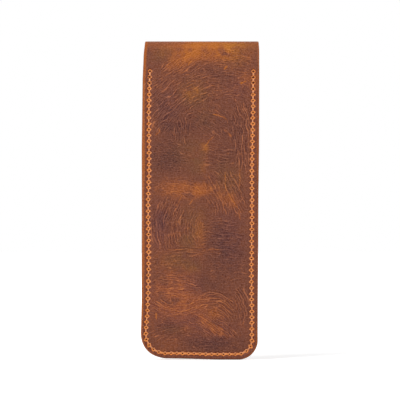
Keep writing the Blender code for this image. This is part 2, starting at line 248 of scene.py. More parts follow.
class PenCaseSizes(bpy.types.PropertyGroup):
    """Sizes of the leather and its seams"""

    fold_radius: length_setting("Fold Radius", "Outer radius of the bends over the mouth", 4.5)
    hide_thickness: length_setting("Hide Thickness", "Thickness of the back and flap", LINING_Y - BACK_Y)
    left_corner: length_setting("Left Corner", "Radius of the bottom corner left of the back", 13.0)
    right_corner: length_setting("Right Corner", "Radius of the bottom corner right of the back", 10.0)
    tongue_width: length_setting("Tongue Width", "Width of the flap's narrow end", 34.0)
    tip_radius: length_setting("Tip Radius", "Corner radius of the flap's end", 13.0)
    shoulder_drop: length_setting("Shoulder Drop", "From the fold down to where the flap narrows", 20.0)
    shoulder_length: length_setting("Shoulder Length", "Length over which the flap narrows", 28.0)
    front_thickness: length_setting("Front Thickness", "Thickness of the formed front", 1.85)
    pen_depth: length_setting("Pen Depth", "Room for a pen behind the front", 11.0)
    channel_spacing: length_setting("Channel Spacing", "Distance between the two channels' crests", 23.5)
    margin_width: length_setting("Margin Width", "Flat sewn margin round the channels", 6.8)
    valley_depth: length_setting("Valley Depth", "Room behind the valley between the channels", 7.6)
    valley_width: length_setting("Valley Width", "Flat bottom of the valley", 6.0)
    channel_end: length_setting("Channel End", "Length of a channel's rounded lower end", 15.0)
    mouth_dip: length_setting("Mouth Dip", "Dip in the middle of the mouth", 4.5)
    band_thickness: length_setting("Band Thickness", "Thickness of the retaining band", 1.5)
    divider_thickness: length_setting("Divider Thickness", "Thickness of the divider", 1.1)
    seam_inset: length_setting("Seam Inset", "From the cut edge in to the seam", 3.2)
    seam_top: length_setting("Seam Top", "Height at which the side seams end", 147.1)
    seam_depth: length_setting("Seam Depth", "Depth of the groove that the stitches pull down", 0.4)


class PenCaseColours(bpy.types.PropertyGroup):
    """Colours of the leather and the thread"""

    wax_dark: colour_setting("Dark Wax", "Leather full of wax", (0.098, 0.031, 0.020))
    brown: colour_setting("Brown", "Leather between", (0.170, 0.052, 0.027))
    pulled: colour_setting("Pulled Up", "Leather where the wax is pushed aside", (0.300, 0.084, 0.024))
    gold: colour_setting("Gold", "The brightest pull-up", (0.440, 0.130, 0.019))
    flesh: colour_setting("Flesh Side", "Raw inner side of the hide", (0.270, 0.135, 0.075))
    edge: colour_setting("Cut Edge", "Burnished cut edge", (0.345, 0.086, 0.010))
    # The hole's colour is painted shade in a stitch's hole
    hole: colour_setting("Hole", "Leather in a stitch's hole", (0.105, 0.016, 0.006))
    seam_shade: colour_setting("Seam Shade", "Leather in the shade of the seam", (0.152, 0.0285, 0.0135))
    thread: colour_setting("Thread", "Waxed thread of the stitches", (0.735, 0.230, 0.040))
    thread_pale: colour_setting("Pale Thread", "Thread pulled tight between the holes",
                                (0.685, 0.275, 0.120))


def sizes():
    """The sizes set in the scene, in millimetres."""
    group = bpy.context.scene.pen_case_sizes
    names = [name for name in group.bl_rna.properties.keys() if name not in OWN_NAMES]
    return types.SimpleNamespace(**{name: getattr(group, name) / MM for name in names})


def colours():
    """The colours set in the scene."""
    return bpy.context.scene.pen_case_colours


# Node trees


class Graph:
    """A node tree being built: each method adds nodes, feeds them values or sockets, and gives the last
    one's output."""

    def __init__(self, tree):
        self.tree = tree

    def feed(self, socket, value):
        """Link a socket into another, or set its value."""
        if isinstance(value, bpy.types.NodeSocket):
            self.tree.links.new(value, socket)
        else:
            socket.default_value = value

    def add(self, kind, inputs=None, output=0, **settings):
        """Add a node with its settings and inputs."""
        node = self.tree.nodes.new(kind)
        for key, value in settings.items():
            setattr(node, key, value)
        for key, value in (inputs or {}).items():
            self.feed(node.inputs[key], value)
        return node.outputs[output]

    def math(self, operation, *values):
        """A Math node."""
        return self.add("ShaderNodeMath", dict(enumerate(values)), operation=operation)

    def vector(self, operation, *values, output=0):
        """A Vector Math node."""
        return self.add("ShaderNodeVectorMath", dict(enumerate(values)), output, operation=operation)

    def scaled(self, vector, factor):
        """A vector times a number."""
        return self.add("ShaderNodeVectorMath", {0: vector, "Scale": factor}, operation="SCALE")

    def remap(self, value, low, high, to_low=0.0, to_high=1.0):
        """An eased step from one range to another."""
        places = {"Value": value, 1: low, 2: high, 3: to_low, 4: to_high}
        return self.add("ShaderNodeMapRange", places, interpolation_type="SMOOTHSTEP")

    def read(self, name, output="Fac"):
        """A value on the mesh, read in a material."""
        return self.add("ShaderNodeAttribute", output=output, attribute_name=name)

    def written(self, name, kind):
        """A value that is written on the mesh."""
        return self.add("GeometryNodeInputNamedAttribute", {"Name": name}, "Attribute", data_type=kind)

    def noise(self, place, scale, detail=2.0, roughness=0.5, distortion=0.0, output="Fac"):
        """A noise over a place."""
        inputs = {"Vector": place, "Scale": scale, "Detail": detail, "Roughness": roughness,
                  "Distortion": distortion}
        return self.add("ShaderNodeTexNoise", inputs, output)

    def mix(self, share, first, second):
        """One colour over another."""
        return self.add("ShaderNodeMix", {0: share, 6: first, 7: second}, 2, data_type="RGBA")

    def split(self, vector):
        """A vector's three values."""
        return self.add("ShaderNodeSeparateXYZ", {0: vector}).node.outputs

    def join(self, x, y, z):
        """A vector from three values."""
        return self.add("ShaderNodeCombineXYZ", {"X": x, "Y": y, "Z": z})

    def turned_back(self, vector, angle):
        """A vector turned back about Z by an angle."""
        turn = {"Vector": vector, "Angle": self.math("MULTIPLY", angle, -1.0)}
        return self.add("ShaderNodeVectorRotate", turn, rotation_type="Z_AXIS")

    def drifted(self, place, scale, detail, roughness, amount):
        """A place shifted to and fro by a noise."""
        noise = self.noise(place, scale, detail, roughness, output="Color")
        shift = self.vector("SUBTRACT", noise, (0.5, 0.5, 0.5))
        return self.vector("ADD", place, self.scaled(shift, amount))

    def cell_edges(self, place, scale, randomness=1.0):
        """Distance to the nearest edge between the cells of a net."""
        inputs = {"Vector": place, "Scale": scale, "Randomness": randomness}
        return self.add("ShaderNodeTexVoronoi", inputs, "Distance", feature="DISTANCE_TO_EDGE",
                        voronoi_dimensions="2D")

    def on_hide(self):
        """A place on the leather laid out flat, in millimetres."""
        return self.scaled(self.add("ShaderNodeUVMap", uv_map="Hide"), 1 / MM)

    def on_object(self):
        """A place on the piece as it stands, in millimetres."""
        return self.scaled(self.add("ShaderNodeTexCoord", output="Object"), 1 / MM)

    def bump(self, height, depth, strength):
        """The normal of a bumpy face, its bumps up to depth in millimetres."""
        inputs = {"Height": height, "Distance": depth * MM, "Strength": strength}
        return self.add("ShaderNodeBump", inputs)

    def group(self, tree, inputs, output=0, **settings):
        """A group of this part's own."""
        kind = "ShaderNodeGroup" if tree.bl_idname == "ShaderNodeTree" else "GeometryNodeGroup"
        return self.add(kind, inputs, output, node_tree=tree, **settings)


def new_group(name, kind, inputs, outputs):
    """A node group with its sockets: its graph, and the group's input and output nodes."""
    tree = bpy.data.node_groups.new(name, kind)
    for label, socket_type in inputs:
        tree.interface.new_socket(label, in_out="INPUT", socket_type="NodeSocket" + socket_type)
    for label, socket_type in outputs:
        tree.interface.new_socket(label, in_out="OUTPUT", socket_type="NodeSocket" + socket_type)
    source = tree.nodes.new("NodeGroupInput")
    result = tree.nodes.new("NodeGroupOutput")
    return tree, Graph(tree), source.outputs, result.inputs


def once(builder):
    """Keep what was built before with the same values."""
    made = {}

    def kept(*values):
        if values not in made:
            made[values] = builder(*values)
        return made[values]

    return kept


# Geometry groups: what a piece of leather has lived through, written on its mesh


@once
def patch_group():
    """A soft patch on the leather: 1 in its middle, fading to 0 at its rim."""
    sockets = (("Place", "Vector"), ("Centre", "Vector"), ("Reach", "Vector"), ("Lean", "Float"))
    outputs = (("Mask", "Float"),)
    tree, graph, given, result = new_group("Soft Patch", "GeometryNodeTree", sockets, outputs)
    turned = graph.turned_back(graph.vector("SUBTRACT", given["Place"], given["Centre"]), given["Lean"])
    distance = graph.vector("LENGTH", graph.vector("DIVIDE", turned, given["Reach"]), output="Value")
    graph.feed(result["Mask"], graph.remap(distance, 0.1, 1.0, 1.0, 0.0))
    return tree


@once
def wander_group():
    """Bends a place a little, so that lines drawn over it wander, and says where the lines break off."""
    sockets = (("Place", "Vector"),)
    outputs = (("Place", "Vector"), ("Breaks", "Float"))
    tree, graph, given, result = new_group("Wandering", "GeometryNodeTree", sockets, outputs)
    slow = graph.noise(given["Place"], 0.16, 1.0, output="Color")
    quick = graph.noise(given["Place"], 0.75, 1.0, output="Color")
    both = graph.vector("ADD", graph.scaled(slow, 2.6), graph.scaled(quick, 0.8))
    shift = graph.vector("SUBTRACT", both, (1.7, 1.7, 1.7))
    graph.feed(result["Place"], graph.vector("ADD", given["Place"], shift))
    breaks = graph.remap(graph.noise(given["Place"], 0.36, 2.0), 0.34, 0.56, 0.6, 1.0)
    graph.feed(result["Breaks"], breaks)
    return tree


@once
def crease_group():
    """One patch of creases laid over those before it. Where its mask is the strongest so far, the lines
    run along arcs round its focus, from which the patch lies in the direction Away. Flow holds the place
    in the net of lines and, as its third value, their strength."""
    sockets = (("Place", "Vector"), ("Centre", "Vector"), ("Reach", "Vector"), ("Lean", "Float"),
               ("Focus", "Vector"), ("Away", "Float"), ("Spacing", "Float"), ("Stretch", "Float"),
               ("Strength", "Float"), ("Seed", "Float"), ("Flow", "Vector"), ("Best", "Float"),
               ("Second", "Float"))
    outputs = (("Flow", "Vector"), ("Best", "Float"), ("Second", "Float"))
    tree, graph, given, result = new_group("Crease Patch", "GeometryNodeTree", sockets, outputs)
    patch = {name: given[name] for name in ("Place", "Centre", "Reach", "Lean")}
    mask = graph.group(patch_group(), patch)
    turned = graph.turned_back(graph.vector("SUBTRACT", given["Place"], given["Focus"]), given["Away"])
    parts = graph.split(turned)
    distance = graph.vector("LENGTH", turned, output="Value")
    to_centre = graph.vector("DISTANCE", given["Centre"], given["Focus"], output="Value")
    along = graph.math("MULTIPLY", graph.math("ARCTAN2", parts[1], parts[0]), to_centre)
    along = graph.math("DIVIDE", graph.math("DIVIDE", along, given["Stretch"]), given["Spacing"])
    flow = graph.join(graph.math("ADD", along, given["Seed"]),
                      graph.math("DIVIDE", distance, given["Spacing"]), given["Strength"])
    chosen = graph.math("GREATER_THAN", mask, given["Best"])
    change = graph.scaled(graph.vector("SUBTRACT", flow, given["Flow"]), chosen)
    graph.feed(result["Flow"], graph.vector("ADD", given["Flow"], change))
    graph.feed(result["Best"], graph.math("MAXIMUM", mask, given["Best"]))
    lesser = graph.math("MINIMUM", mask, given["Best"])
    graph.feed(result["Second"], graph.math("MAXIMUM", lesser, given["Second"]))
    return tree


def add_patches(graph, place, patches, total):
    """Soft patches added to a value."""
    for name, centre, reach, lean, strength in patches:
        mask = graph.group(patch_group(), {
            "Place": place, "Centre": (*centre, 0.0), "Reach": (*reach, 1.0),
            "Lean": math.radians(lean)}, label=name)
        total = graph.math("MULTIPLY_ADD", mask, strength, total)
    return total


def crease_flow(graph, place, creases):
    """The net of creases over a place, and how far it leads over the next patch's net."""
    flow = graph.vector("MULTIPLY_ADD", place, (0.45, 0.75, 0.0), (0.0, 0.0, BARE_CREASES))
    best = 0.03
    second = 0.0
    for seed, (name, centre, reach, lean, focus, spacing, stretch, strength) in enumerate(creases):
        away = math.atan2(centre[1] - focus[1], centre[0] - focus[0])
        flow = graph.group(crease_group(), {
            "Place": place, "Centre": (*centre, 0.0), "Reach": (*reach, 1.0),
            "Lean": math.radians(lean), "Focus": (*focus, 0.0), "Away": away, "Spacing": spacing,
            "Stretch": stretch, "Strength": strength, "Seed": 3.7 * seed, "Flow": flow, "Best": best,
            "Second": second}, label=name)
        best = flow.node.outputs["Best"]
        second = flow.node.outputs["Second"]
    return flow, graph.math("SUBTRACT", best, second)


def character_tree(name, clouds, khaki, creases):
    """Writes tone, yellowing and creases on a piece of leather, and raises its deeper creases."""
    socket = (("Geometry", "Geometry"),)
    tree, graph, given, result = new_group(name, "GeometryNodeTree", socket, socket)
    place = graph.scaled(graph.written("Hide", "FLOAT_VECTOR"), 1 / MM)
    soft = graph.drifted(place, 0.11, 3.0, 0.6, 4.0)
    # Tone starts with a band at each bend over the flap's top: lighter rubbed leather there, and a painted
    # highlight on the bends
    to_middle = graph.math("ABSOLUTE", graph.math("SUBTRACT", graph.split(place)[1], TOP_MIDDLE))
    to_bend = graph.math("ABSOLUTE", graph.math("SUBTRACT", to_middle, PULLED_AND_LIT_BEND))
    tone = graph.math("MULTIPLY", graph.remap(to_bend, 1.0, 5.0, 1.0, 0.0), 0.19)
    tone = add_patches(graph, soft, clouds, tone)
    yellowed = add_patches(graph, soft, khaki, 0.0)
    wander = graph.group(wander_group(), {"Place": place})
    flow, lead = crease_flow(graph, wander, creases)
    parts = graph.split(flow)
    faded = graph.math("MULTIPLY", graph.remap(lead, 0.0, 0.15, 0.35, 1.0), wander.node.outputs["Breaks"])
    strength = graph.math("MULTIPLY", parts[2], faded)
    flow = graph.join(parts[0], parts[1], strength)
    shape = given["Geometry"]
    for label, kind, value in (("Tone", "FLOAT", tone), ("Khaki", "FLOAT", yellowed),
                               ("Flow", "FLOAT_VECTOR", flow)):
        shape = graph.add("GeometryNodeStoreNamedAttribute",
                          {"Geometry": shape, "Name": label, "Value": value},
                          data_type=kind, domain="POINT")
    deep = graph.remap(strength, 0.12, 0.30, 0.0, CREASE_RELIEF * MM)
    outer = graph.math("SUBTRACT", 1.0, graph.written("flesh", "FLOAT"))
    ridges = graph.group(net_group("GeometryNodeTree"), {"Flow": flow}, "Ridges")
    height = graph.math("MULTIPLY", ridges, deep)
    offset = graph.scaled(graph.add("GeometryNodeInputNormal"), graph.math("MULTIPLY", height, outer))
    shape = graph.add("GeometryNodeSetPosition", {"Geometry": shape, "Offset": offset})
    graph.feed(result["Geometry"], shape)
    return tree


@once
def net_group(kind):
    """Creases in their net: Lines is 1 on a thin line and below 0 between them, Ridges rises and falls
    more softly for the relief."""
    outputs = (("Lines", "Float"), ("Ridges", "Float"))
    tree, graph, given, result = new_group("Crease Net " + kind, kind, (("Flow", "Vector"),), outputs)
    sway = graph.noise(given["Flow"], 0.6, 1.0)
    phase = graph.math("MULTIPLY_ADD", sway, 2.2, graph.split(given["Flow"])[1])
    off = graph.math("ABSOLUTE", graph.math("SUBTRACT", graph.math("FRACT", phase), 0.5))
    kept = graph.remap(graph.noise(given["Flow"], 0.9, 1.0), 0.34, 0.50, 0.35, 1.0)
    running = graph.math("MULTIPLY", graph.remap(off, 0.0, 0.17, 1.55, 0.0), kept)
    crossing = graph.remap(graph.cell_edges(given["Flow"], 1.0, 0.9), 0.0, 0.13, 0.75, 0.0)
    graph.feed(result["Lines"], graph.math("SUBTRACT", graph.math("MAXIMUM", running, crossing), 0.3))
    ridge = graph.math("MULTIPLY", graph.remap(off, 0.0, 0.5, 0.5, -0.5), kept)
    graph.feed(result["Ridges"], ridge)
    return tree


# Shader groups


@once
def scratch_group():
    """A short scratch between two points, thin at its ends."""
    sockets = (("Place", "Vector"), ("Start", "Vector"), ("End", "Vector"), ("Width", "Float"))
    tree, graph, given, result = new_group("Scratch", "ShaderNodeTree", sockets, (("Mask", "Float"),))
    run = graph.vector("SUBTRACT", given["End"], given["Start"])
    offset = graph.vector("SUBTRACT", given["Place"], given["Start"])
    square = graph.vector("DOT_PRODUCT", run, run, output="Value")
    share = graph.math("DIVIDE", graph.vector("DOT_PRODUCT", offset, run, output="Value"), square)
    clamped = graph.add("ShaderNodeClamp", {"Value": share})
    nearest = graph.scaled(run, clamped)
    distance = graph.vector("LENGTH", graph.vector("SUBTRACT", offset, nearest), output="Value")
    ends = graph.math("MULTIPLY", graph.math("SUBTRACT", 1.0, clamped), clamped)
    width = graph.math("MULTIPLY", given["Width"], graph.remap(ends, -0.1, 0.2))
    graph.feed(result["Mask"], graph.remap(graph.math("DIVIDE", distance, width), 0.4, 1.0, 1.0, 0.0))
    return tree


@once
def grain_group():
    """The leather's own grain: pores, a fine cell pattern and specks, for colour and for bump; in the
    colour the specks are painted glints.
    """
    sockets = (("Place", "Vector"), ("Cell", "Float"))
    outputs = (("Height", "Float"), ("Speck", "Float"), ("Net", "Float"))
    tree, graph, given, result = new_group("Grain", "ShaderNodeTree", sockets, outputs)
    scale = graph.math("DIVIDE", 1.0, given["Cell"])
    wander = graph.noise(given["Place"], 0.45, 2.0, output="Color")
    bent = graph.vector("ADD", given["Place"], graph.scaled(wander, 1.6))
    net = graph.remap(graph.cell_edges(bent, scale), 0.0, 0.14, 1.0, 0.0)
    speck = graph.noise(given["Place"], 1.35, 1.0, 0.6)
    pores = graph.noise(given["Place"], 4.5, 1.0)
    height = graph.math("MULTIPLY_ADD", net, -0.5, graph.math("MULTIPLY", speck, 0.6))
    graph.feed(result["Height"], graph.math("MULTIPLY_ADD", pores, 0.35, height))
    graph.feed(result["Speck"], speck)
    graph.feed(result["Net"], net)
    return tree


@once
def seam_group():
    """Painted shade round a seam and in its holes, and the rim of edge colour at a cut edge, read from the
    Seam map.
    """
    sockets = (("Seam", "Vector"), ("Inset", "Float"), ("Rim Width", "Float"))
    outputs = (("Groove", "Float"), ("Hole Shade", "Float"), ("Rim", "Float"), ("Margin", "Float"))
    tree, graph, given, result = new_group("Seam Shade", "ShaderNodeTree", sockets, outputs)
    stitch, inset, _ = graph.split(given["Seam"])
    sewn = graph.remap(stitch, -0.55, -0.25)
    off = graph.math("SUBTRACT", inset, given["Inset"])
    groove = graph.remap(graph.math("ABSOLUTE", off), 0.35, 1.35, 1.0, 0.0)
    phase = graph.math("ABSOLUTE", graph.math("SUBTRACT", graph.math("FRACT", stitch), 0.5))
    near_hole = graph.math("MULTIPLY", graph.math("SUBTRACT", 0.5, phase), STITCH_PITCH)
    square = graph.math("MULTIPLY_ADD", off, off, graph.math("MULTIPLY", near_hole, near_hole))
    # Painted shade in each stitch's hole
    hole = graph.remap(square, 0.12, 0.55, 1.0, 0.0)
    margin = graph.math("MULTIPLY", graph.remap(inset, 0.9, 1.5), graph.remap(inset, 2.2, 3.4, 1.0, 0.0))
    rim = graph.remap(graph.math("DIVIDE", inset, given["Rim Width"]), 0.55, 1.15, 1.0, 0.0)
    graph.feed(result["Groove"], graph.math("MULTIPLY", groove, sewn))
    graph.feed(result["Hole Shade"], graph.math("MULTIPLY", hole, sewn))
    graph.feed(result["Rim"], rim)
    graph.feed(result["Margin"], graph.math("MULTIPLY", margin, sewn))
    return tree


# The leather's clouds, as the photographed side shows them and the flap past the fold may have them:
# name, centre, reach and lean of a patch, in millimetres across and along the hide and in degrees, and how
# far it is pulled up (above 0) or full of wax (below 0), save three beside the spine that paint light and
# shade; then where it is yellower (above 0) or rosier
HIDE_CLOUDS = (
    ("top cloud", (3, 158.5), (25, 10.5), 4, 0.35),
    ("top cloud's trail", (-9, 154), (18, 7.5), 30, 0.26),
    ("top left haze", (-20, 157), (9, 5), 20, 0.10),
    ("top right band", (17, 157), (17, 11), -4, 0.18),
    ("top right heart", (13, 157.5), (4.5, 4), 0, 0.13),
    ("upper tan patch", (-4.2, 136.5), (7.0, 6.5), 0, 0.22),
    ("middle cloud", (-10, 86.5), (19, 7.5), -2, 0.24),
    ("middle cloud's bright end", (1.0, 87), (7.5, 6.5), 0, 0.22),
    ("middle cloud's tail", (12.5, 83.5), (15, 6.5), -32, 0.22),
    ("small spot", (2.2, 108), (3.6, 3.6), 30, 0.30),
    ("spine haze", (2, 97), (3, 11), 0, 0.11),
    ("spine tan", (0.0, 69), (3.4, 10), 0, 0.07),
    ("lower tan spot", (-4.2, 46.6), (3.6, 2.6), 0, 0.08),
    ("left lower haze", (-15, 46), (14, 14), 0, 0.08),
    ("red field", (-14, 32), (21, 17), 0, 0.27),
    ("lower haze", (4, 26), (26, 12), 0, 0.15),
    ("bottom streak", (7.5, 16), (15, 3.6), -36, 0.36),
    ("loop's tan heart", (7, 23.5), (5.5, 3.6), 0, 0.10),
    ("right top margin", (28, 142), (4, 9), 0, 0.25),
    ("right of the shoulder", (24, 144), (8, 6), 0, 0.17),
    ("bottom tan", (-6, 15), (7, 3.2), -8, 0.14),
    ("bottom left brown", (-14, 7), (11, 5), 0, 0.07),
    ("left shoulder", (-17.5, 128), (13, 18), 25, -0.16),
    ("left middle", (-17, 104), (16, 14), 0, -0.24),
    ("right shoulder", (11, 144), (13, 7), -15, -0.12),
    ("right upper", (15, 121), (16, 22), 0, -0.15),
    ("right middle", (12, 102), (16, 10), 0, -0.12),
    ("right lower", (14.5, 57), (15, 22), 0, -0.20),
    # These three paint light on the left of the ridge down the back and shade on its right
    ("right of the spine", (9, 60), (7, 19), 0, -0.14),
    ("left of the spine", (-0.5, 63), (5, 17), 0, 0.13),
    ("beside the spine", (2.2, 41), (3, 9), 0, -0.12),
    ("above the loops", (3, 37.5), (15, 6), 0, -0.16),
    ("middle throat", (0, 120), (10, 8), 0, -0.14),
    ("bottom", (7, 8), (24, 6), 3, -0.22),
    ("left bottom", (-16, 16), (8, 6), 10, -0.14),
    ("left of the middle", (-20, 70), (9, 10), 0, -0.19),
    ("left throat", (-14, 118), (13, 9), 0, -0.16),
    ("top's rubbed middle", (-7, 169), (22, 7), 4, 0.20),
    ("flap's crown", (5, 186), (22, 9), 4, 0.30),
    ("flap's left spot", (-15, 203), (10, 7), 20, 0.20),
    ("flap's dark right", (13, 202), (14, 11), 0, -0.18),
    ("tongue's rubbed middle", (1, 231), (11, 17), 0, 0.26),
    ("tongue's left edge", (-13, 240), (6, 18), 0, -0.16),
    ("tongue's dark waist", (6, 214), (14, 7), -15, -0.16),
    ("tongue's rubbed tip", (0, 262), (18, 7), 0, 0.30),
)
HIDE_KHAKI = (
    ("upper tan patch", (-3.5, 136), (13, 12), 0, 0.60),
    ("left throat", (-6, 106), (13, 12), 0, 0.45),
    ("right middle", (14, 93), (13, 14), 0, 0.45),
    ("top right edge", (19, 160), (15, 5.5), 0, 0.50),
    ("left lower", (-12, 50), (14, 8), 0, 0.55),
    ("small spot", (2.0, 108), (5, 5), 0, 0.38),
    ("spine haze", (-1, 99), (7, 11), 0, 0.45),
    ("spine tan", (-3.5, 69), (12, 17), 0, 0.42),
    ("left tan", (-7, 60), (9, 9), 0, 0.35),
    ("lower tan spot", (-4, 47), (7, 5), 0, 0.60),
    ("loop's tan heart", (7, 23.5), (6, 4.5), 0, 0.35),
    ("left bottom", (-12, 15), (12, 5), 0, 0.50),
    ("top left", (-19, 156), (9, 6), 20, 0.50),
    ("top right", (17, 153), (10, 7), 0, 0.35),
    ("throat", (3, 123), (9, 10), 0, 0.30),
    ("lower left", (-12, 30), (26, 24), 0, -0.70),
    ("left veins", (-21, 68), (7, 20), 0, -0.60),
    ("right plum", (15, 62), (14, 24), 0, -0.45),
    ("right shoulder", (19, 138), (10, 12), 0, -0.35),
    ("bottom", (6, 16), (24, 16), 0, -0.45),
    ("left shoulder", (-17, 130), (12, 18), 0, -0.30),
    ("flap's right", (15, 192), (12, 12), 0, 0.45),
    ("tongue's left", (-8, 226), (9, 16), 0, 0.50),
    ("tongue's tip", (4, 258), (16, 10), 0, -0.45),
)
# Name, centre, reach and lean of the patch, the focus that its lines run round, spacing and stretch of
# their net, and strength
HIDE_CREASES = (
    ("shoulder lines", (-16, 131.5), (17, 21), 20, (45, 62), 1.13, 5.6, 0.22),
    ("cloud lines", (-8, 150), (19, 8), 24, (45, 62), 1.05, 6.2, 0.23),
    ("throat lines", (-10, 119), (7, 13), 4, (-70, 112), 1.26, 5.0, 0.21),
    ("crown lines", (3, 140), (15, 12), 20, (12, 101), 1.18, 5.0, 0.23),
    ("right shoulder lines", (18, 143), (12, 14), 0, (12, 101), 1.26, 4.0, 0.20),
    ("top right net", (16, 153), (14, 8), -10, (12, 101), 1.18, 2.9, 0.21),
    ("throat net", (5, 121), (13, 13), 0, (-30, 60), 1.26, 2.2, 0.15),
    ("right veins", (22.0, 114), (8.0, 23), 0, (-60, 108), 1.40, 5.0, 0.28),
    ("dark middle net", (10, 104), (12, 10), 0, (5, 10), 1.43, 3.4, 0.16),
    ("left dark net", (-15, 104), (13, 11), 0, (-20, 20), 1.18, 2.2, 0.15),
    ("right middle veins", (13, 85), (13, 16), 20, (-42, 61), 1.55, 4.2, 0.19),
    ("cloud net", (-11, 88), (15, 7), -5, (-14, 62), 1.05, 4.7, 0.18),
    ("left lower veins", (-16, 68), (12.5, 17), 0, (9, 67), 1.45, 5.0, 0.22),
    ("tan heart's arcs", (-4, 66), (8, 12), 0, (9, 67), 1.26, 3.7, 0.17),
    ("spine creases", (10, 64), (14, 10), 0, (8, -40), 1.43, 4.8, 0.17),
    ("waist lines", (-2, 55.5), (24, 3.6), 0, (0, -70), 1.43, 7.8, 0.22),
    ("left haze lines", (-15, 49), (12, 8), 0, (-15, -60), 1.18, 4.0, 0.16),
    ("right dark net", (14, 47), (13, 11), 0, (10, -60), 1.26, 3.1, 0.14),
    ("red field lines", (-13, 37), (15, 9), 0, (-16, -40), 1.13, 5.9, 0.23),
    ("hammock lines", (-13, 26.5), (16, 6.5), 0, (-11, 48), 1.18, 5.8, 0.25),
    ("loops", (9, 28), (14, 9), -10, (6, 18), 1.20, 5.3, 0.26),
    ("right loops", (21, 28), (6, 12), 0, (3, 22), 1.26, 4.7, 0.21),
    ("streak lines", (7.5, 16), (17, 8), -38, (-28, -33), 0.97, 7.8, 0.24),
    ("bottom lines", (-13, 15), (15, 8), 8, (-12, -14), 1.01, 5.6, 0.19),
    ("bottom net", (6, 8), (22, 5), 0, (4, -60), 1.05, 3.7, 0.16),
    ("top's lines", (4, 169.5), (27, 7), 0, (0, 80), 1.30, 6.0, 0.18),
    ("flap's fold lines", (2, 186), (28, 8), 0, (0, 130), 1.20, 6.0, 0.20),
    ("flap's left lines", (-18, 206), (13, 13), 0, (10, 250), 1.30, 5.4, 0.21),
    ("flap's right lines", (17, 207), (13, 13), 0, (60, 225), 1.50, 5.0, 0.21),
    ("flap's throat net", (0, 208), (11, 11), 0, (5, 300), 1.25, 3.0, 0.16),
    ("tongue's left veins", (-10, 232), (9, 15), 0, (-60, 236), 1.50, 5.2, 0.22),
    ("tongue's right veins", (9, 240), (10, 15), 0, (42, 252), 1.40, 5.4, 0.21),
    ("tongue's tip lines", (0, 262), (17, 8), 0, (0, 225), 1.20, 5.6, 0.21),
)
# Short scratches and single creases: start, end, width and strength
SCRATCHES = (
    ((6.1, 125.6), (13.7, 122.9), 0.46, 0.50),
    ((13.5, 123.0), (14.1, 119.8), 0.40, 0.22),
    ((7.1, 114.1), (2.5, 109.2), 0.42, 0.34),
    ((12.4, 117.1), (14.6, 115.5), 0.80, 0.22),
    ((14.4, 115.7), (16.0, 113.6), 0.60, 0.42),
    ((-21.2, 117.8), (-20.4, 116.0), 0.55, 0.36),
    ((-20.4, 116.2), (-23.0, 114.4), 0.55, 0.26),
    ((-14.3, 116.4), (-12.8, 113.5), 0.46, 0.30),
    ((-6.4, 150.1), (-4.4, 152.4), 0.50, 0.30),
    ((12.3, 148.0), (13.6, 149.8), 0.85, 0.46),
    ((20.4, 140.7), (21.8, 141.6), 0.66, 0.44),
    ((21.6, 141.4), (23.8, 141.9), 0.48, 0.36),
    ((12.8, 96.0), (13.0, 86.5), 0.36, 0.26),
    ((13.0, 86.5), (19.6, 76.5), 0.38, 0.24),
    ((19.6, 76.5), (20.6, 70.5), 0.34, 0.26),
    ((20.2, 97.5), (20.2, 87.0), 0.36, 0.28),
    ((-9.0, 84.5), (-12.5, 77.0), 0.34, 0.26),
    ((-3.5, 82.0), (-5.5, 79.0), 0.40, 0.28),
    ((-17.0, 56.2), (-1.0, 56.0), 0.34, 0.22),
    ((0.0, 55.8), (17.0, 56.8), 0.34, 0.26),
    ((-22.6, 24.0), (-22.3, 20.5), 0.65, 0.40),
    ((-5.9, 67.6), (-5.5, 66.5), 0.60, 0.28),
    ((14.0, 105.8), (14.6, 104.8), 0.60, 0.26),
)

# Materials


def new_material(name):
    """A new material, the graph of its nodes and its shader's sockets."""
    material = bpy.data.materials.new(name)
    material.use_nodes = True
    tree = material.node_tree
    return material, Graph(tree), tree.nodes["Principled BSDF"].inputs


def dress(graph, shader, colour, roughness, normal):
    """Feed a shader what changes over its surface."""
    graph.feed(shader["Base Color"], colour)
    graph.feed(shader["Roughness"], roughness)
    graph.feed(shader["Normal"], normal)


def opaque(colour, share=1.0):
    """A colour as a socket takes it, darkened or brightened by a share."""
    return (*(Vector(colour) * share), 1.0)


def pull_up_ramp(graph, tone):
    """The leather's colour at a tone, from full of wax to pulled up bright."""
    look = colours()
    ramp = graph.add("ShaderNodeValToRGB", {0: tone})
    stops = ((0.10, look.wax_dark), (0.40, look.brown), (0.68, look.pulled), (0.95, look.gold))
    elements = ramp.node.color_ramp.elements
    for index, (position, colour) in enumerate(stops):
        stop = elements[index] if index < 2 else elements.new(position)
        stop.position = position
        stop.color = opaque(colour)
    return ramp


def scratch_marks(graph, place, scratched):
    """How strongly each place is marked by its strongest scratch."""
    ragged = graph.drifted(place, 0.45, 1.0, 0.5, 1.0)
    strongest = 0.0
    for start, end, width, strength in scratched:
        mark = graph.group(scratch_group(), {
            "Place": ragged, "Start": (*start, 0.0), "End": (*end, 0.0), "Width": width})
        strongest = graph.math("MAXIMUM", strongest, graph.math("MULTIPLY", mark, strength))
    return strongest


def leather_tone(graph, flat, place, clouding, scratched):
    """How far the leather is pulled up: its own clouds, and what is written on the mesh or scratched."""
    clouds = graph.noise(graph.drifted(place, 0.11, 3.0, 0.6, 4.0), 0.045, 3.0, 0.55, 0.3)
    tone = graph.math("MULTIPLY_ADD", clouds, clouding, 0.23 - clouding / 2)
    tone = graph.math("MULTIPLY_ADD", graph.noise(place, 0.35, 3.0, 0.62), 0.30, tone)
    tone = graph.math("ADD", graph.read("Tone"), tone)
    return graph.math("ADD", scratch_marks(graph, flat, scratched), tone)


def crease_lines(graph):
    """How bright a place is made by the net of creases that is written on the mesh."""
    flow = graph.read("Flow", "Vector")
    net = graph.group(net_group("ShaderNodeTree"), {"Flow": flow})
    return graph.math("MULTIPLY", net, graph.split(flow)[2])


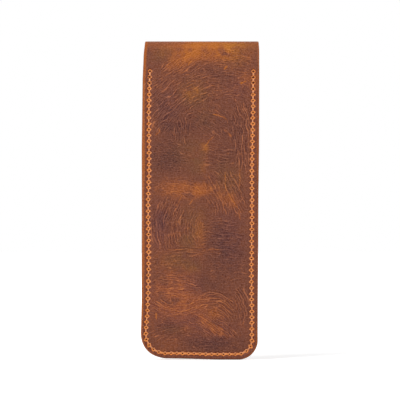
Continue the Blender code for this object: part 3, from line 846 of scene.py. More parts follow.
def tinted(graph, colour):
    """A colour made yellower or rosier, as is written on the mesh."""
    khaki = graph.read("Khaki")
    colour = graph.mix(khaki, colour, graph.vector("MULTIPLY", colour, KHAKI_TINT))
    rosier = graph.vector("MULTIPLY", colour, ROSY_TINT)
    return graph.mix(graph.math("MULTIPLY", khaki, -1.0), colour, rosier)


def shaded_by_seam(graph, colour):
    """A colour with painted shade round the seam and in its holes, and dyed at the cut edge (on the back,
    partly a painted highlight).
    """
    look = colours()
    seam = graph.group(seam_group(), {
        "Seam": graph.add("ShaderNodeUVMap", uv_map="Seam"), "Inset": sizes().seam_inset,
        "Rim Width": graph.read("Rim")}).node.outputs
    for mask, share, over in (("Margin", 0.22, look.seam_shade), ("Groove", 0.9, look.seam_shade),
                              ("Rim", 0.92, look.edge), ("Hole Shade", 1.0, look.hole)):
        colour = graph.mix(graph.math("MULTIPLY", seam[mask], share), colour, opaque(over))
    return colour


@once
def leather_material(name, clouding, seed, scratched=()):
    """Waxed pull-up leather, which reads what its character tree wrote on the mesh."""
    material, graph, shader = new_material(name)
    flat = graph.on_hide()
    place = graph.vector("ADD", flat, (seed, 0.0, seed))
    lines = crease_lines(graph)
    grain = graph.group(grain_group(), {"Place": place, "Cell": 1.7}).node.outputs
    tone = leather_tone(graph, flat, place, clouding, scratched)
    tone = graph.math("MULTIPLY_ADD", lines, 1.12, tone)
    tone = graph.math("MULTIPLY_ADD", grain["Net"], 0.035, tone)
    colour = shaded_by_seam(graph, tinted(graph, pull_up_ramp(graph, tone)))
    # Painted glints: the specks brighten and darken the colour and add a greyish light
    speck = graph.math("SUBTRACT", grain["Speck"], 0.5)
    colour = graph.scaled(colour, graph.math("MULTIPLY_ADD", speck, 0.5, 1.0))
    colour = graph.vector("MULTIPLY_ADD", SPECK_GLINT, speck, colour)
    colour = graph.vector("MULTIPLY_ADD", CREASE_LIGHT, lines, colour)
    colour = graph.vector("MAXIMUM", colour, DARKEST)
    height = graph.math("MULTIPLY_ADD", lines, 0.8, graph.math("MULTIPLY", grain["Height"], 0.20))
    dress(graph, shader, colour, graph.remap(tone, 0.1, 0.9, 0.52, 0.70), graph.bump(height, 0.22, 0.8))
    shader["Specular IOR Level"].default_value = 0.22
    return material


@once
def flesh_material():
    """The raw inner side of the hide: short matted fibres."""
    material, graph, shader = new_material("Flesh Side")
    place = graph.on_hide()
    fibres = graph.noise(place, 2.6, 4.0, 0.75, 0.8)
    clouds = graph.noise(place, 0.09, 2.0)
    tone = graph.math("MULTIPLY_ADD", clouds, 0.6, graph.math("MULTIPLY", fibres, 0.4))
    flesh = colours().flesh
    colour = graph.mix(graph.remap(tone, 0.3, 0.7), opaque(flesh, 0.68), opaque(flesh, 1.22))
    dress(graph, shader, colour, graph.remap(fibres, 0.3, 0.7, 0.86, 0.96), graph.bump(fibres, 0.18, 0.8))
    shader["Specular IOR Level"].default_value = 0.2
    return material


@once
def edge_material():
    """A cut edge, dyed and rubbed smooth, with the leather's layers just showing."""
    material, graph, shader = new_material("Cut Edge")
    place = graph.on_object()
    layers = graph.noise(graph.vector("MULTIPLY", place, (0.5, 3.0, 0.5)), 1.2, 3.0, 0.6)
    patches = graph.noise(place, 0.35, 2.0)
    tone = graph.math("MULTIPLY_ADD", layers, 0.6, graph.math("MULTIPLY", patches, 0.4))
    edge = colours().edge
    colour = graph.mix(graph.remap(tone, 0.35, 0.65), opaque(edge, 0.42), opaque(edge))
    dress(graph, shader, colour, graph.remap(layers, 0.3, 0.7, 0.42, 0.62), graph.bump(layers, 0.1, 0.6))
    return material


@once
def thread_material():
    """Waxed thread: orange, paler where it is pulled tight and on the loops' paler side (on the band a
    painted highlight), with a twist.
    """
    look = colours()
    material, graph, shader = new_material("Waxed Thread")
    pale, turns, _ = graph.split(graph.add("ShaderNodeUVMap", uv_map="Thread"))
    twist = graph.math("SINE", graph.math("MULTIPLY", turns, 2 * math.pi))
    wear = graph.noise(graph.on_object(), 0.9, 3.0, 0.7)
    colour = graph.mix(graph.remap(pale, 0.2, 0.8), opaque(look.thread), opaque(look.thread_pale))
    colour = graph.mix(graph.remap(wear, 0.52, 0.75, 0.0, 0.6), colour, opaque(look.thread, 0.45))
    dress(graph, shader, colour, graph.remap(wear, 0.3, 0.7, 0.45, 0.7), graph.bump(twist, 0.05, 0.6))
    return material


def leather_set(leather):
    """A piece's leather, its flesh side and its cut edge."""
    return leather, flesh_material(), edge_material()


def hide_leather():
    """The leather of the back and the flap."""
    return leather_material("Hide Leather", 0.25, 0.0, SCRATCHES)


# Modelling


def deselect():
    """Leave nothing selected."""
    bpy.ops.object.select_all(action="DESELECT")


def select_only(obj):
    """Select one object and make it the active one."""
    deselect()
    obj.select_set(True)
    bpy.context.view_layer.objects.active = obj


def apply_modifier(obj, modifier):
    """Apply a modifier, so that the mesh is final."""
    select_only(obj)
    bpy.ops.object.modifier_apply(modifier=modifier.name)


def add_grid(name, columns, rows):
    """A grid of that many vertices each way, and each vertex's column and row."""
    deselect()
    bpy.ops.mesh.primitive_grid_add(x_subdivisions=columns - 1, y_subdivisions=rows - 1, size=2,
                                    calc_uvs=False, location=(0, 0, 0))
    obj = bpy.context.object
    obj.name = name
    obj.data.name = name
    if len(obj.data.vertices) != columns * rows:
        raise RuntimeError(f"{name}: the grid has {len(obj.data.vertices)} vertices")
    places = vertex_places(obj.data)
    column = np.rint((places[:, 0] + 1) / 2 * (columns - 1)).astype(int)
    row = np.rint((places[:, 1] + 1) / 2 * (rows - 1)).astype(int)
    return obj, column, row


def vertex_places(mesh):
    """The mesh's vertices as rows of x, y, z."""
    places = np.empty(len(mesh.vertices) * 3)
    mesh.vertices.foreach_get("co", places)
    return places.reshape(-1, 3)


def move_vertices(mesh, places):
    """Put the mesh's vertices where places says, in metres."""
    mesh.vertices.foreach_set("co", np.asarray(places, np.float32).ravel())
    mesh.update()


def corner_vertices(mesh):
    """The vertex at each corner of the faces."""
    corners = np.empty(len(mesh.loops), int)
    mesh.loops.foreach_get("vertex_index", corners)
    return corners


def draw_map(mesh, name, first, second):
    """A UV map from two values for each vertex."""
    layer = mesh.uv_layers.new(name=name)
    values = np.column_stack(np.broadcast_arrays(first, second))[corner_vertices(mesh)]
    layer.data.foreach_set("uv", values.astype(np.float32).ravel())


def read_map(mesh, name):
    """A UV map's two values at each vertex."""
    values = np.empty(len(mesh.loops) * 2)
    mesh.uv_layers[name].data.foreach_get("uv", values)
    at_vertex = np.zeros((len(mesh.vertices), 2))
    at_vertex[corner_vertices(mesh)] = values.reshape(-1, 2)
    return at_vertex.T


def lay_sheet(obj, place, on_hide, on_seam):
    """Put a sheet's vertices in place, and keep where they lie on the leather and on its seam, all in
    millimetres."""
    move_vertices(obj.data, np.column_stack(place) * MM)
    draw_map(obj.data, "Hide", on_hide[0] * MM, on_hide[1] * MM)
    draw_map(obj.data, "Seam", *on_seam)


def read_places(obj):
    """Where each vertex lies on the leather, in millimetres, and on its seam."""
    across, up = read_map(obj.data, "Hide") / MM
    return across, up, *read_map(obj.data, "Seam")


def outer_share(obj):
    """1 at each vertex of the grain side, 0 on the flesh side."""
    group = obj.vertex_groups["flesh"].index
    share = np.ones(len(obj.data.vertices))
    for vertex in obj.data.vertices:
        for member in vertex.groups:
            if member.group == group:
                share[vertex.index] = 1 - member.weight
    return share


def thicken(obj, thickness, side, materials):
    """Give a sheet its thickness, its flesh side and its cut edges, and break those edges."""
    for material in materials:
        obj.data.materials.append(material)
    obj.vertex_groups.new(name="flesh")
    solidify = obj.modifiers.new("Leather", "SOLIDIFY")
    solidify.thickness = thickness * MM
    solidify.offset = side
    solidify.shell_vertex_group = "flesh"
    solidify.material_offset = 1
    solidify.material_offset_rim = 2
    apply_modifier(obj, solidify)
    break_edges(obj)


def at_joint(place):
    """Whether a place lies where the back's hide runs on into the flap's, which is no cut edge."""
    return abs(place.y / MM - (BACK_Y + TONGUE_TOP_Y) / 2) < 1e-3


def break_edges(obj):
    """Bevel the cut edges in edit mode."""
    mesh = obj.data
    shape = bmesh.new()
    shape.from_mesh(mesh)
    shape.edges.ensure_lookup_table()
    chosen = []
    for edge in shape.edges:
        if len(edge.link_faces) == 2 and edge.calc_face_angle() > EDGE_ANGLE:
            if not all(at_joint(vert.co) for vert in edge.verts):
                chosen.append(edge.index)
    shape.free()
    mesh.vertices.foreach_set("select", np.zeros(len(mesh.vertices), bool))
    mesh.polygons.foreach_set("select", np.zeros(len(mesh.polygons), bool))
    picked = np.zeros(len(mesh.edges), bool)
    picked[chosen] = True
    mesh.edges.foreach_set("select", picked)
    select_only(obj)
    bpy.ops.object.mode_set(mode="EDIT")
    bpy.ops.mesh.select_mode(type="EDGE")
    bpy.ops.mesh.bevel(offset=EDGE_BREAK * MM, segments=2, profile=0.5, affect="EDGES",
                       clamp_overlap=True)
    bpy.ops.object.mode_set(mode="OBJECT")


def finish_piece(obj):
    """Shade a piece smooth, with its hard edges kept."""
    select_only(obj)
    bpy.ops.object.shade_smooth_by_angle(angle=EDGE_ANGLE)


def press(obj, depth):
    """Push the grain side in or out along its normals by depth, in millimetres at each vertex."""
    mesh = obj.data
    normals = np.empty(len(mesh.vertices) * 3)
    mesh.vertices.foreach_get("normal", normals)
    step = (depth * outer_share(obj))[:, None] * MM
    move_vertices(mesh, vertex_places(mesh) + normals.reshape(-1, 3) * step)


# The leather laid out flat


def edge_at(side, along):
    """How far out the hide's left or right edge stands at a distance along it."""
    stations = np.array(HIDE_EDGES)
    case = sizes()
    wide = np.interp(along, stations[:, 0], stations[:, 1 + side])
    narrow_start = unrolled_length(TOP_Z - case.shoulder_drop)
    share = np.clip((along - narrow_start) / case.shoulder_length, 0, 1)
    ease = 0.5 - 0.5 * np.cos(math.pi * share)
    return wide + (case.tongue_width / 2 - wide) * ease


def fold_arc():
    """Length of a bend's outer face."""
    return math.pi / 2 * sizes().fold_radius


def straight_top():
    """Height at which the hide starts to bend."""
    return TOP_Z - sizes().fold_radius


def bridge_length():
    """Flat part of the flap's top, from bend to bend."""
    return TONGUE_TOP_Y - BACK_Y - 2 * sizes().fold_radius


def joint_length():
    """Distance along the hide to the joint in the middle of the flap's top."""
    return straight_top() + fold_arc() + bridge_length() / 2


def unrolled_length(front_z):
    """Distance along the hide, from the case's bottom end over the fold to a height on the tongue."""
    return straight_top() + 2 * fold_arc() + bridge_length() + straight_top() - front_z


def hide_profile(along):
    """Where the hide's outer face lies at a distance along it: y and z."""
    radius = sizes().fold_radius
    first = straight_top()
    second = first + fold_arc()
    third = second + bridge_length()
    fourth = third + fold_arc()
    turn = np.clip((along - first) / radius, 0, math.pi / 2)
    y = BACK_Y + radius * (1 - np.cos(turn))
    z = np.minimum(along, first) + radius * np.sin(turn)
    y = y + np.clip(along - second, 0, bridge_length())
    turn = np.clip((along - third) / radius, 0, math.pi / 2)
    y = y + radius * np.sin(turn)
    z = z - radius * (1 - np.cos(turn)) - np.maximum(along - fourth, 0)
    return y, z


def bend_ends(face_y, inward):
    """Where a bend starts to give, on the face that stands at face_y, and where it ends, on the top."""
    top = straight_top()
    reach = sizes().fold_radius + BEND_REACH_TOP
    foot = (0, (face_y - inward * BEND_REACH_DOWN) * MM, (top - BEND_REACH_DOWN) * MM)
    return foot, (0, (face_y + inward * reach) * MM, (top + reach) * MM)


def ring_insets(radius):
    """The rings' insets at a corner of that radius."""
    insets = np.array(RING_INSETS, float)
    outer = insets > SEAM_ZONE
    past = (insets[outer] - SEAM_ZONE) * (radius - SEAM_ZONE)
    insets[outer] = SEAM_ZONE + past / (insets[-1] - SEAM_ZONE)
    return insets


class FlatStrip:
    """A sheet with a rounded end, laid flat: for each vertex its place, its inset and how far down the
    seam it lies. Columns run from the left edge and rows from the rounded end. Flipped turns the outer
    side towards +Y."""

    def __init__(self, name, length, radii, step, edge=edge_at, flipped=False):
        self.rows = RINGS + round((length - radii[0]) / step) + 1
        self.columns = 2 * RINGS + MIDDLE_COLUMNS
        self.obj, column, self.row = add_grid(name, self.columns, self.rows)
        last = self.columns - 1
        self.column = last - column if flipped else column
        near = np.minimum(self.column, last - self.column)
        middle = near >= RINGS
        corner = (near < RINGS) & (self.row < RINGS)
        share = np.clip((self.column - RINGS) / (last - 2 * RINGS), 0, 1)
        right = share > 0.5
        ups, insets, downs = zip(*(self.end_places(near, corner, radius, length) for radius in radii))
        self.side = right.astype(int)
        self.up = np.where(middle, ups[0] * (1 - share) + ups[1] * share, np.where(right, ups[1], ups[0]))
        left_edge = -edge(0, self.up)
        right_edge = edge(1, self.up)
        inner = (left_edge + radii[0]) * (1 - share) + (right_edge - radii[1]) * share
        outer = np.where(right, right_edge - insets[1], left_edge + insets[0])
        self.across = np.where(middle, inner, outer)
        to_side = np.minimum(self.across - left_edge, right_edge - self.across)
        ring_inset = np.array(RING_INSETS, float)[np.minimum(np.minimum(near, self.row), RINGS)]
        self.inset = np.where(corner, ring_inset, np.minimum(to_side, self.up))
        self.down = np.where(right, downs[1], downs[0])
        bottom = middle & (self.row < RINGS)
        for side, radius in enumerate(radii):
            total = seam_length(side, radius, edge)
            here = self.side == side
            run = total - self.across if side else total + self.across
            self.down = np.where(bottom & here, run, self.down)
            self.down = np.where(here, self.down * STITCHES_A_SIDE / total, self.down)

    def end_places(self, near, corner, radius, length):
        """How far up, how far in from the side and how far down the seam each vertex lies, if its corner
        has that radius."""
        insets = ring_insets(radius)
        ladder = np.concatenate((insets[:-1], np.linspace(radius, length, self.rows - RINGS)))
        ring = np.minimum(near, self.row)
        left = np.maximum(RINGS - ring, 1)
        turn = np.where(near <= self.row, math.pi / 4 * (RINGS - self.row) / left,
                        math.pi / 2 - math.pi / 4 * (RINGS - near) / left)
        reach = radius - insets[np.minimum(ring, RINGS)]
        up = np.where(corner, radius - reach * np.sin(turn), ladder[self.row])
        inward = np.where(corner, radius - reach * np.cos(turn), insets[np.minimum(near, RINGS)])
        case = sizes()
        turned = case.seam_top - radius + turn * (radius - case.seam_inset)
        return up, inward, np.where(corner, turned, case.seam_top - up)

    def from_seam(self):
        """The inset with the seam's drift taken out near the seam, for the Seam map."""
        drift = np.where(self.side == 1, seam_drift(1, self.down), seam_drift(0, self.down))
        return self.inset - drift * smoothstep(0.3, 1.6, self.inset) * smoothstep(8, 5.5, self.inset)

    def relaxed(self, values):
        """A height evened out over the sheet, so that formed leather has no hard creases."""
        grid = np.zeros((self.rows, self.columns))
        grid[self.row, self.column] = values
        for _ in range(FORMING_ROUNDS):
            padded = np.pad(grid, 1, mode="edge")
            beside = padded[:-2, 1:-1] + padded[2:, 1:-1] + padded[1:-1, :-2] + padded[1:-1, 2:]
            grid = (beside + 2 * grid) / 6
        return grid[self.row, self.column]


def seam_drift(side, stitch):
    """How far in from its line the seam lies."""
    stations = np.array(SEAM_DRIFT)
    return np.interp(stitch, stations[:, 0], stations[:, 1 + side])


def seam_length(side, radius, edge=edge_at):
    """Length of a seam from its top to the middle of the bottom."""
    seam_radius = radius - sizes().seam_inset
    bottom = edge(side, np.zeros(1))[0] - radius
    return sizes().seam_top - radius + math.pi / 2 * seam_radius + bottom


def seam_place(side, stitch, radius):
    """Flat place and direction of a point on a side's seam, stitches counted down from its top."""
    case = sizes()
    run = stitch * seam_length(side, radius) / STITCHES_A_SIDE
    straight = case.seam_top - radius
    seam_radius = radius - case.seam_inset
    sign = -1 if side == 0 else 1
    drift = float(seam_drift(side, stitch))
    if run <= straight:
        up = case.seam_top - run
        return sign * (edge_at(side, up) - case.seam_inset - drift), up, 0.0
    turn = (run - straight) / seam_radius
    if turn <= math.pi / 2:
        up = radius - (seam_radius - drift) * math.sin(turn)
        across = edge_at(side, up) - radius + (seam_radius - drift) * math.cos(turn)
        return sign * across, up, -sign * turn
    rest = run - straight - math.pi / 2 * seam_radius
    return sign * (edge_at(side, 0.0) - radius - rest), case.seam_inset + drift, -sign * math.pi / 2


# Relief


def slant(across, up):
    """How much higher the bottom is cut towards the left corner."""
    lift = BOTTOM_SLANT * smoothstep(14, -18, across) * smoothstep(-29, -20, across)
    return lift * smoothstep(26, 9, up)


def seam_relief(inset, stitch):
    """Groove, dimples and puffed margin that the stitches pull into the leather."""
    case = sizes()
    off = inset - case.seam_inset
    sewn = smoothstep(-0.8, -0.2, stitch)
    from_hole = np.abs(stitch - np.rint(stitch)) * STITCH_PITCH
    groove = -case.seam_depth * bell(off, GROOVE_WIDTH)
    dimple = -DIMPLE_DEPTH * bell(off, DIMPLE_SIZE) * bell(from_hole, DIMPLE_SIZE)
    puff = sum(height * bell(off - place, width) for place, height, width in PUFFS)
    return (groove + dimple + puff) * sewn


def edge_relief(inset):
    """The skived, rubbed edge: the leather thins towards its cut edge."""
    return -SKIVE_DEPTH * (1 - np.clip(inset / SKIVE_WIDTH, 0, 1)) ** 2


def fold_edge_relief(inset, up):
    """The same for the hide, whose edge is skived less at the bends over the mouth."""
    bends = smoothstep(*SKIVING_ENDS, up) * smoothstep(*SKIVING_STARTS, up)
    return edge_relief(inset) * (1 - 0.7 * bends)


def spine(across, up):
    """Where the two channels' valley shows through, as a soft ridge down the back."""
    return bell(across, 3.0) * smoothstep(28, 36, up) * smoothstep(88, 78, up)


def back_rim(across, up):
    """How wide the back's rubbed rim is, partly a painted highlight: wider at the left, and almost gone in
    the bottom's middle.
    """
    side = smoothstep(-12, 12, across)
    upper = smoothstep(85, 105, up)
    corner = smoothstep(24, 12, up)
    rim = (LEFT_RIM - 0.3 * corner) * (1 - side) + (RIGHT_RIM + 0.3 * upper + 0.35 * corner) * side
    return rim * (1 - 0.85 * smoothstep(8, 5, up) * smoothstep(25, 18, np.abs(across)))


def swell(across, up, size, amount, seed):
    """Slow rise and fall of leather that doesn't lie quite flat."""
    wave = np.sin(across / size + seed) * np.sin(up / (1.7 * size) + 2.1 * seed)
    wave = wave + 0.6 * np.sin((across + 0.7 * up) / (0.8 * size) - seed)
    return amount * wave


def give_character(obj, tree, rim):
    """Write a character tree's values on a piece, and how wide its rubbed rim is (on the back, partly a
    painted highlight).
    """
    layer = obj.data.attributes.new("Rim", "FLOAT", "POINT")
    layer.data.foreach_set("value", np.full(len(obj.data.vertices), rim, np.float32))
    modifier = obj.modifiers.new("Character", "NODES")
    modifier.node_group = tree
    apply_modifier(obj, modifier)


@once
def hide_character():
    """The character of the hide that makes the back and the flap."""
    return character_tree("Hide Character", HIDE_CLOUDS, HIDE_KHAKI, HIDE_CREASES)


def scattered_character(name, seed, width, low, high, count):
    """Character of a piece that isn't seen in the photo: patches and creases strewn over it."""
    strewn = random.Random(seed)
    clouds = []
    khaki = []
    creases = []
    for index in range(count):
        centre = (strewn.uniform(-width, width), low + (high - low) * (index + strewn.random()) / count)
        reach = (strewn.uniform(8, 18), strewn.uniform(5, 12))
        lean = strewn.uniform(-60, 60)
        clouds.append(("cloud", centre, reach, lean, strewn.choice((-0.18, -0.12, 0.14, 0.24))))
        away = strewn.uniform(0, 2 * math.pi)
        distance = strewn.uniform(14, 60)
        middle = (strewn.uniform(-width, width), low + (high - low) * (index + strewn.random()) / count)
        focus = (middle[0] + distance * math.cos(away), middle[1] + distance * math.sin(away))
        creases.append(("creases", middle, (strewn.uniform(8, 16), strewn.uniform(7, 14)), lean, focus,
                        strewn.uniform(1.2, 1.6), strewn.uniform(4.0, 6.0), strewn.uniform(0.13, 0.21)))
        if index % 2:
            khaki.append(("khaki", middle, reach, lean, strewn.uniform(0.3, 0.6)))
    return character_tree(name, clouds, khaki, creases)


# Pieces of leather


class PENCASE_OT_back_hide(bpy.types.Operator):
    """Build the back with its bend and half of the flap's top, in one hide"""

    bl_idname = "pen_case.back_hide"
    bl_label = "Back Hide"

    def execute(self, context):
        case = sizes()
        strip = FlatStrip("hide_back", joint_length(), (case.left_corner, case.right_corner), HIDE_STEP)
        obj = strip.obj
        y, z = hide_profile(strip.up)
        z = z + slant(strip.across, strip.up)
        lay_sheet(obj, (strip.across, y, z), (strip.across, strip.up), (strip.down, strip.from_seam()))
        thicken(obj, case.hide_thickness, INWARDS, leather_set(hide_leather()))
        across, up, stitch, inset = read_places(obj)
        depth = seam_relief(inset, stitch) + fold_edge_relief(inset, up)
        calm = smoothstep(150, 135, up) * smoothstep(2, 9, inset)
        depth = depth + swell(across, up, size=9.0, amount=0.07, seed=1.3) * calm
        press(obj, depth + SPINE_RELIEF * spine(across, up))
        give_character(obj, hide_character(), back_rim(across, up))
        finish_piece(obj)
        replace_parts(obj, "back_panel", "back_fold")
        foot, crown = bend_ends(BACK_Y, 1)
        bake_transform(obj)
        return {"FINISHED"}


class PENCASE_OT_flap_hide(bpy.types.Operator):
    """Build the rest of the flap's top, its second bend and its tongue"""

    bl_idname = "pen_case.flap_hide"
    bl_label = "Flap Hide"

    def execute(self, context):
        case = sizes()
        whole = unrolled_length(TIP_Z)
        radii = (case.tip_radius, case.tip_radius)
        strip = FlatStrip("hide_flap", whole - joint_length(), radii, HIDE_STEP,
                          edge=lambda side, up: edge_at(side, whole - up), flipped=True)
        obj = strip.obj
        along = whole - strip.up
        y, z = hide_profile(along)
        shoulder = smoothstep(13, 27, np.abs(strip.across)) * smoothstep(TOP_Z - 2, TOP_Z - 26, z)
        on_front = along > unrolled_length(straight_top())
        y = y - np.where(on_front, SHOULDER_DRAPE * shoulder, 0)
        lay_sheet(obj, (strip.across, y, z), (strip.across, along), (UNSEWN, strip.inset))
        thicken(obj, case.hide_thickness, INWARDS, leather_set(hide_leather()))
        across, up, _, inset = read_places(obj)
        calm = smoothstep(unrolled_length(150), unrolled_length(140), up) * smoothstep(2, 6, inset)
        swollen = swell(across, up, size=7.0, amount=0.05, seed=0.4) * calm
        press(obj, fold_edge_relief(inset, up) + swollen)
        give_character(obj, hide_character(), rim=1.2)
        finish_piece(obj)
        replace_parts(obj, "flap_top", "front_fold", "flap_tongue")
        foot, crown = bend_ends(TONGUE_TOP_Y, -1)
        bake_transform(obj)
        return {"FINISHED"}


def fullness(share):
    """How a channel's wall rises from its foot (0) to its crest (1): steep, then rounding over."""
    return 1 - (1 - np.clip(share, 0, 1)) ** 2.2


def channel_depth(across, up):
    """Depth of the pen room behind a place on the front, in millimetres."""
    case = sizes()
    reach = np.abs(across)
    crest = case.channel_spacing / 2
    foot = HALF_WIDTH - case.margin_width
    valley_edge = case.valley_width / 2
    wall = case.pen_depth * fullness((foot - reach) / (foot - crest))
    rise = np.maximum(0, (reach - valley_edge) / (crest - valley_edge))
    valley = case.valley_depth + (case.pen_depth - case.valley_depth) * np.sin(math.pi / 2 * rise)
    depth = np.where(reach >= crest, wall, valley)
    return depth * fullness((up - case.margin_width) / case.channel_end)


class PENCASE_OT_formed_front(bpy.types.Operator):
    """Build the front with its two pen channels and dipped mouth"""

    bl_idname = "pen_case.formed_front"
    bl_label = "Formed Front"

    def execute(self, context):
        case = sizes()
        radii = (case.left_corner, case.right_corner)
        strip = FlatStrip("formed_front", MOUTH_Z, radii, FRONT_STEP, flipped=True)
        obj = strip.obj
        depth = strip.relaxed(channel_depth(strip.across, strip.up))
        dip = case.mouth_dip * (0.5 + 0.5 * np.cos(math.pi * np.clip(strip.across / HALF_WIDTH, -1, 1)))
        z = strip.up - dip * smoothstep(MOUTH_Z - MOUTH_REACH, MOUTH_Z, strip.up)
        z = z + slant(strip.across, strip.up)
        inner_y = MARGIN_Y - (case.front_thickness - MARGIN_THICKNESS)
        inset = np.minimum(strip.from_seam(), MOUTH_Z - strip.up)
        lay_sheet(obj, (strip.across, inner_y + depth, z), (strip.across, strip.up), (strip.down, inset))
        leather = leather_material("Formed Leather", 0.35, 211.0)
        thicken(obj, case.front_thickness, OUTWARDS, leather_set(leather))
        across, up, stitch, inset = read_places(obj)
        relief = seam_relief(inset, stitch) + 0.5 * edge_relief(inset)
        swollen = swell(across, up, size=6.0, amount=0.06, seed=2.2) * smoothstep(5, 10, inset)
        press(obj, relief + swollen)
        character = scattered_character("Front Character", seed=21, width=26, low=0, high=MOUTH_Z, count=16)
        give_character(obj, character, rim=0.9)
        finish_piece(obj)
        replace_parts(obj, "front_panel")
        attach(obj, "case")
        return {"FINISHED"}


def rounded_path(points, radii):
    """A path through points in a plane, corners rounded, and how far along it each of its places lies."""
    path = [Vector(points[0])]
    for index, radius in enumerate(radii, start=1):
        corner = Vector(points[index])
        back = (Vector(points[index - 1]) - corner).normalized()
        onward = (Vector(points[index + 1]) - corner).normalized()
        half_angle = back.angle(onward) / 2
        centre = corner + (back + onward).normalized() * radius / math.sin(half_angle)
        first = (corner + back * radius / math.tan(half_angle) - centre).normalized()
        last = (corner + onward * radius / math.tan(half_angle) - centre).normalized()
        for count in range(BEND_STEPS + 1):
            path.append(centre + radius * first.slerp(last, count / BEND_STEPS))
    path.append(Vector(points[-1]))
    corners = np.array(path)
    runs = np.concatenate(([0], np.cumsum(np.linalg.norm(np.diff(corners, axis=0), axis=1))))
    stations = np.linspace(0, runs[-1], round(runs[-1] / PATH_STEP) + 1)
    return np.column_stack([np.interp(stations, runs, corners[:, axis]) for axis in (0, 1)]), stations


def bent_strip(name, corners, radii, low, high, step):
    """A strip that follows a path round corners across the case and runs from low to high up it."""
    path, stations = rounded_path(corners, radii)
    rows = round((high - low) / step) + 1
    obj, column, row = add_grid(name, len(path), rows)
    up = low + (high - low) * row / (rows - 1)
    along = stations[column]
    end = stations[-1]
    inset = np.minimum(np.minimum(up - low, high - up), np.minimum(along, end - along) + 3)
    lay_sheet(obj, (path[column, 0], path[column, 1], up), (along - end / 2, up), (UNSEWN, inset))
    return obj


class PENCASE_OT_band(bpy.types.Operator):
    """Build the band that holds the flap"""

    bl_idname = "pen_case.band"
    bl_label = "Retaining Band"

    def execute(self, context):
        case = sizes()
        foot_y = MARGIN_TOP_Y + LAYER_GAP
        foot_x = HALF_WIDTH - case.margin_width + BAND_FOOT_OUT
        edge_x = case.tongue_width / 2 + BAND_PLAY
        out_y = BAND_TOP_Y - case.band_thickness
        middle = (BAND_LOW_Z + BAND_HIGH_Z) / 2
        corners = [(edge_at(1, middle), foot_y), (foot_x, foot_y), (edge_x, out_y), (-edge_x, out_y),
                   (-foot_x, foot_y), (-edge_at(0, middle), foot_y)]
        obj = bent_strip("band", corners, BAND_BENDS, BAND_LOW_Z, BAND_HIGH_Z, BAND_STEP)
        leather = leather_material("Band Leather", 0.35, 97.0)
        thicken(obj, case.band_thickness, OUTWARDS, leather_set(leather))
        _, _, _, inset = read_places(obj)
        depth, line, width = BAND_CREASE
        press(obj, -depth * bell(inset - line, width) + 0.5 * edge_relief(inset))
        character = scattered_character("Band Character", seed=8, width=32, low=BAND_LOW_Z,
                                        high=BAND_HIGH_Z, count=6)
        give_character(obj, character, rim=0.8)
        finish_piece(obj)
        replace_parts(obj, "retaining_band")
        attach(obj, "case")
        return {"FINISHED"}


class PENCASE_OT_divider(bpy.types.Operator):
    """Build the divider between the two pens"""

    bl_idname = "pen_case.divider"
    bl_label = "Pen Divider"

    def execute(self, context):
        case = sizes()
        (_, _, low), (_, flange_y, high) = np.array(CAD_DIVIDER) / MM
        flange_x = case.valley_width / 2
        web_x = -case.divider_thickness / 2
        corners = [(flange_x, flange_y), (-flange_x, flange_y), (web_x, LINING_Y + DIVIDER_FOOT_GAP)]
        obj = bent_strip("divider", corners, (DIVIDER_BEND,), low, high, DIVIDER_STEP)
        thicken(obj, case.divider_thickness, INWARDS, leather_set(flesh_material()))
        finish_piece(obj)
        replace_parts(obj, "pen_divider")
        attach(obj, "case")
        return {"FINISHED"}


# Stitches


def unit_loop(cord):
    """One hole's loop of thread: a flat diamond ring in the seam's plane, its cord of that radius."""
    deselect()
    bpy.ops.mesh.primitive_torus_add(major_segments=12, minor_segments=5, major_radius=LOOP_REACH - cord,
                                     minor_radius=cord, generate_uvs=False, location=(0, 0, 0))
    places, faces = take_mesh()
    angle = np.arctan2(places[:, 1], places[:, 0])
    diamond = 1 / (np.abs(np.cos(angle)) + np.abs(np.sin(angle)))
    radius = np.hypot(places[:, 0], places[:, 1])
    places[:, 0] *= diamond * LOOP_ACROSS
    places[:, 1] *= diamond * LOOP_ALONG
    places[:, 2] = places[:, 2] * LOOP_FLATNESS - LOOP_DIP * smoothstep(0.9, 0.3, radius)
    return places, faces


def unit_bar():
    """The tight thread between two holes: a slim spindle one stitch long."""
    deselect()
    bpy.ops.mesh.primitive_uv_sphere_add(segments=6, ring_count=5, radius=1, location=(0, 0, 0))
    places, faces = take_mesh()
    return places[:, [0, 2, 1]] * BAR_SIZE, [face[::-1] for face in faces]


def take_mesh():
    """The active object's vertices and faces; the object is removed."""
    obj = bpy.context.object
    places = vertex_places(obj.data)
    faces = [tuple(face.vertices) for face in obj.data.polygons]
    mesh = obj.data
    bpy.data.objects.remove(obj, do_unlink=True)
    bpy.data.meshes.remove(mesh)
    return places, faces


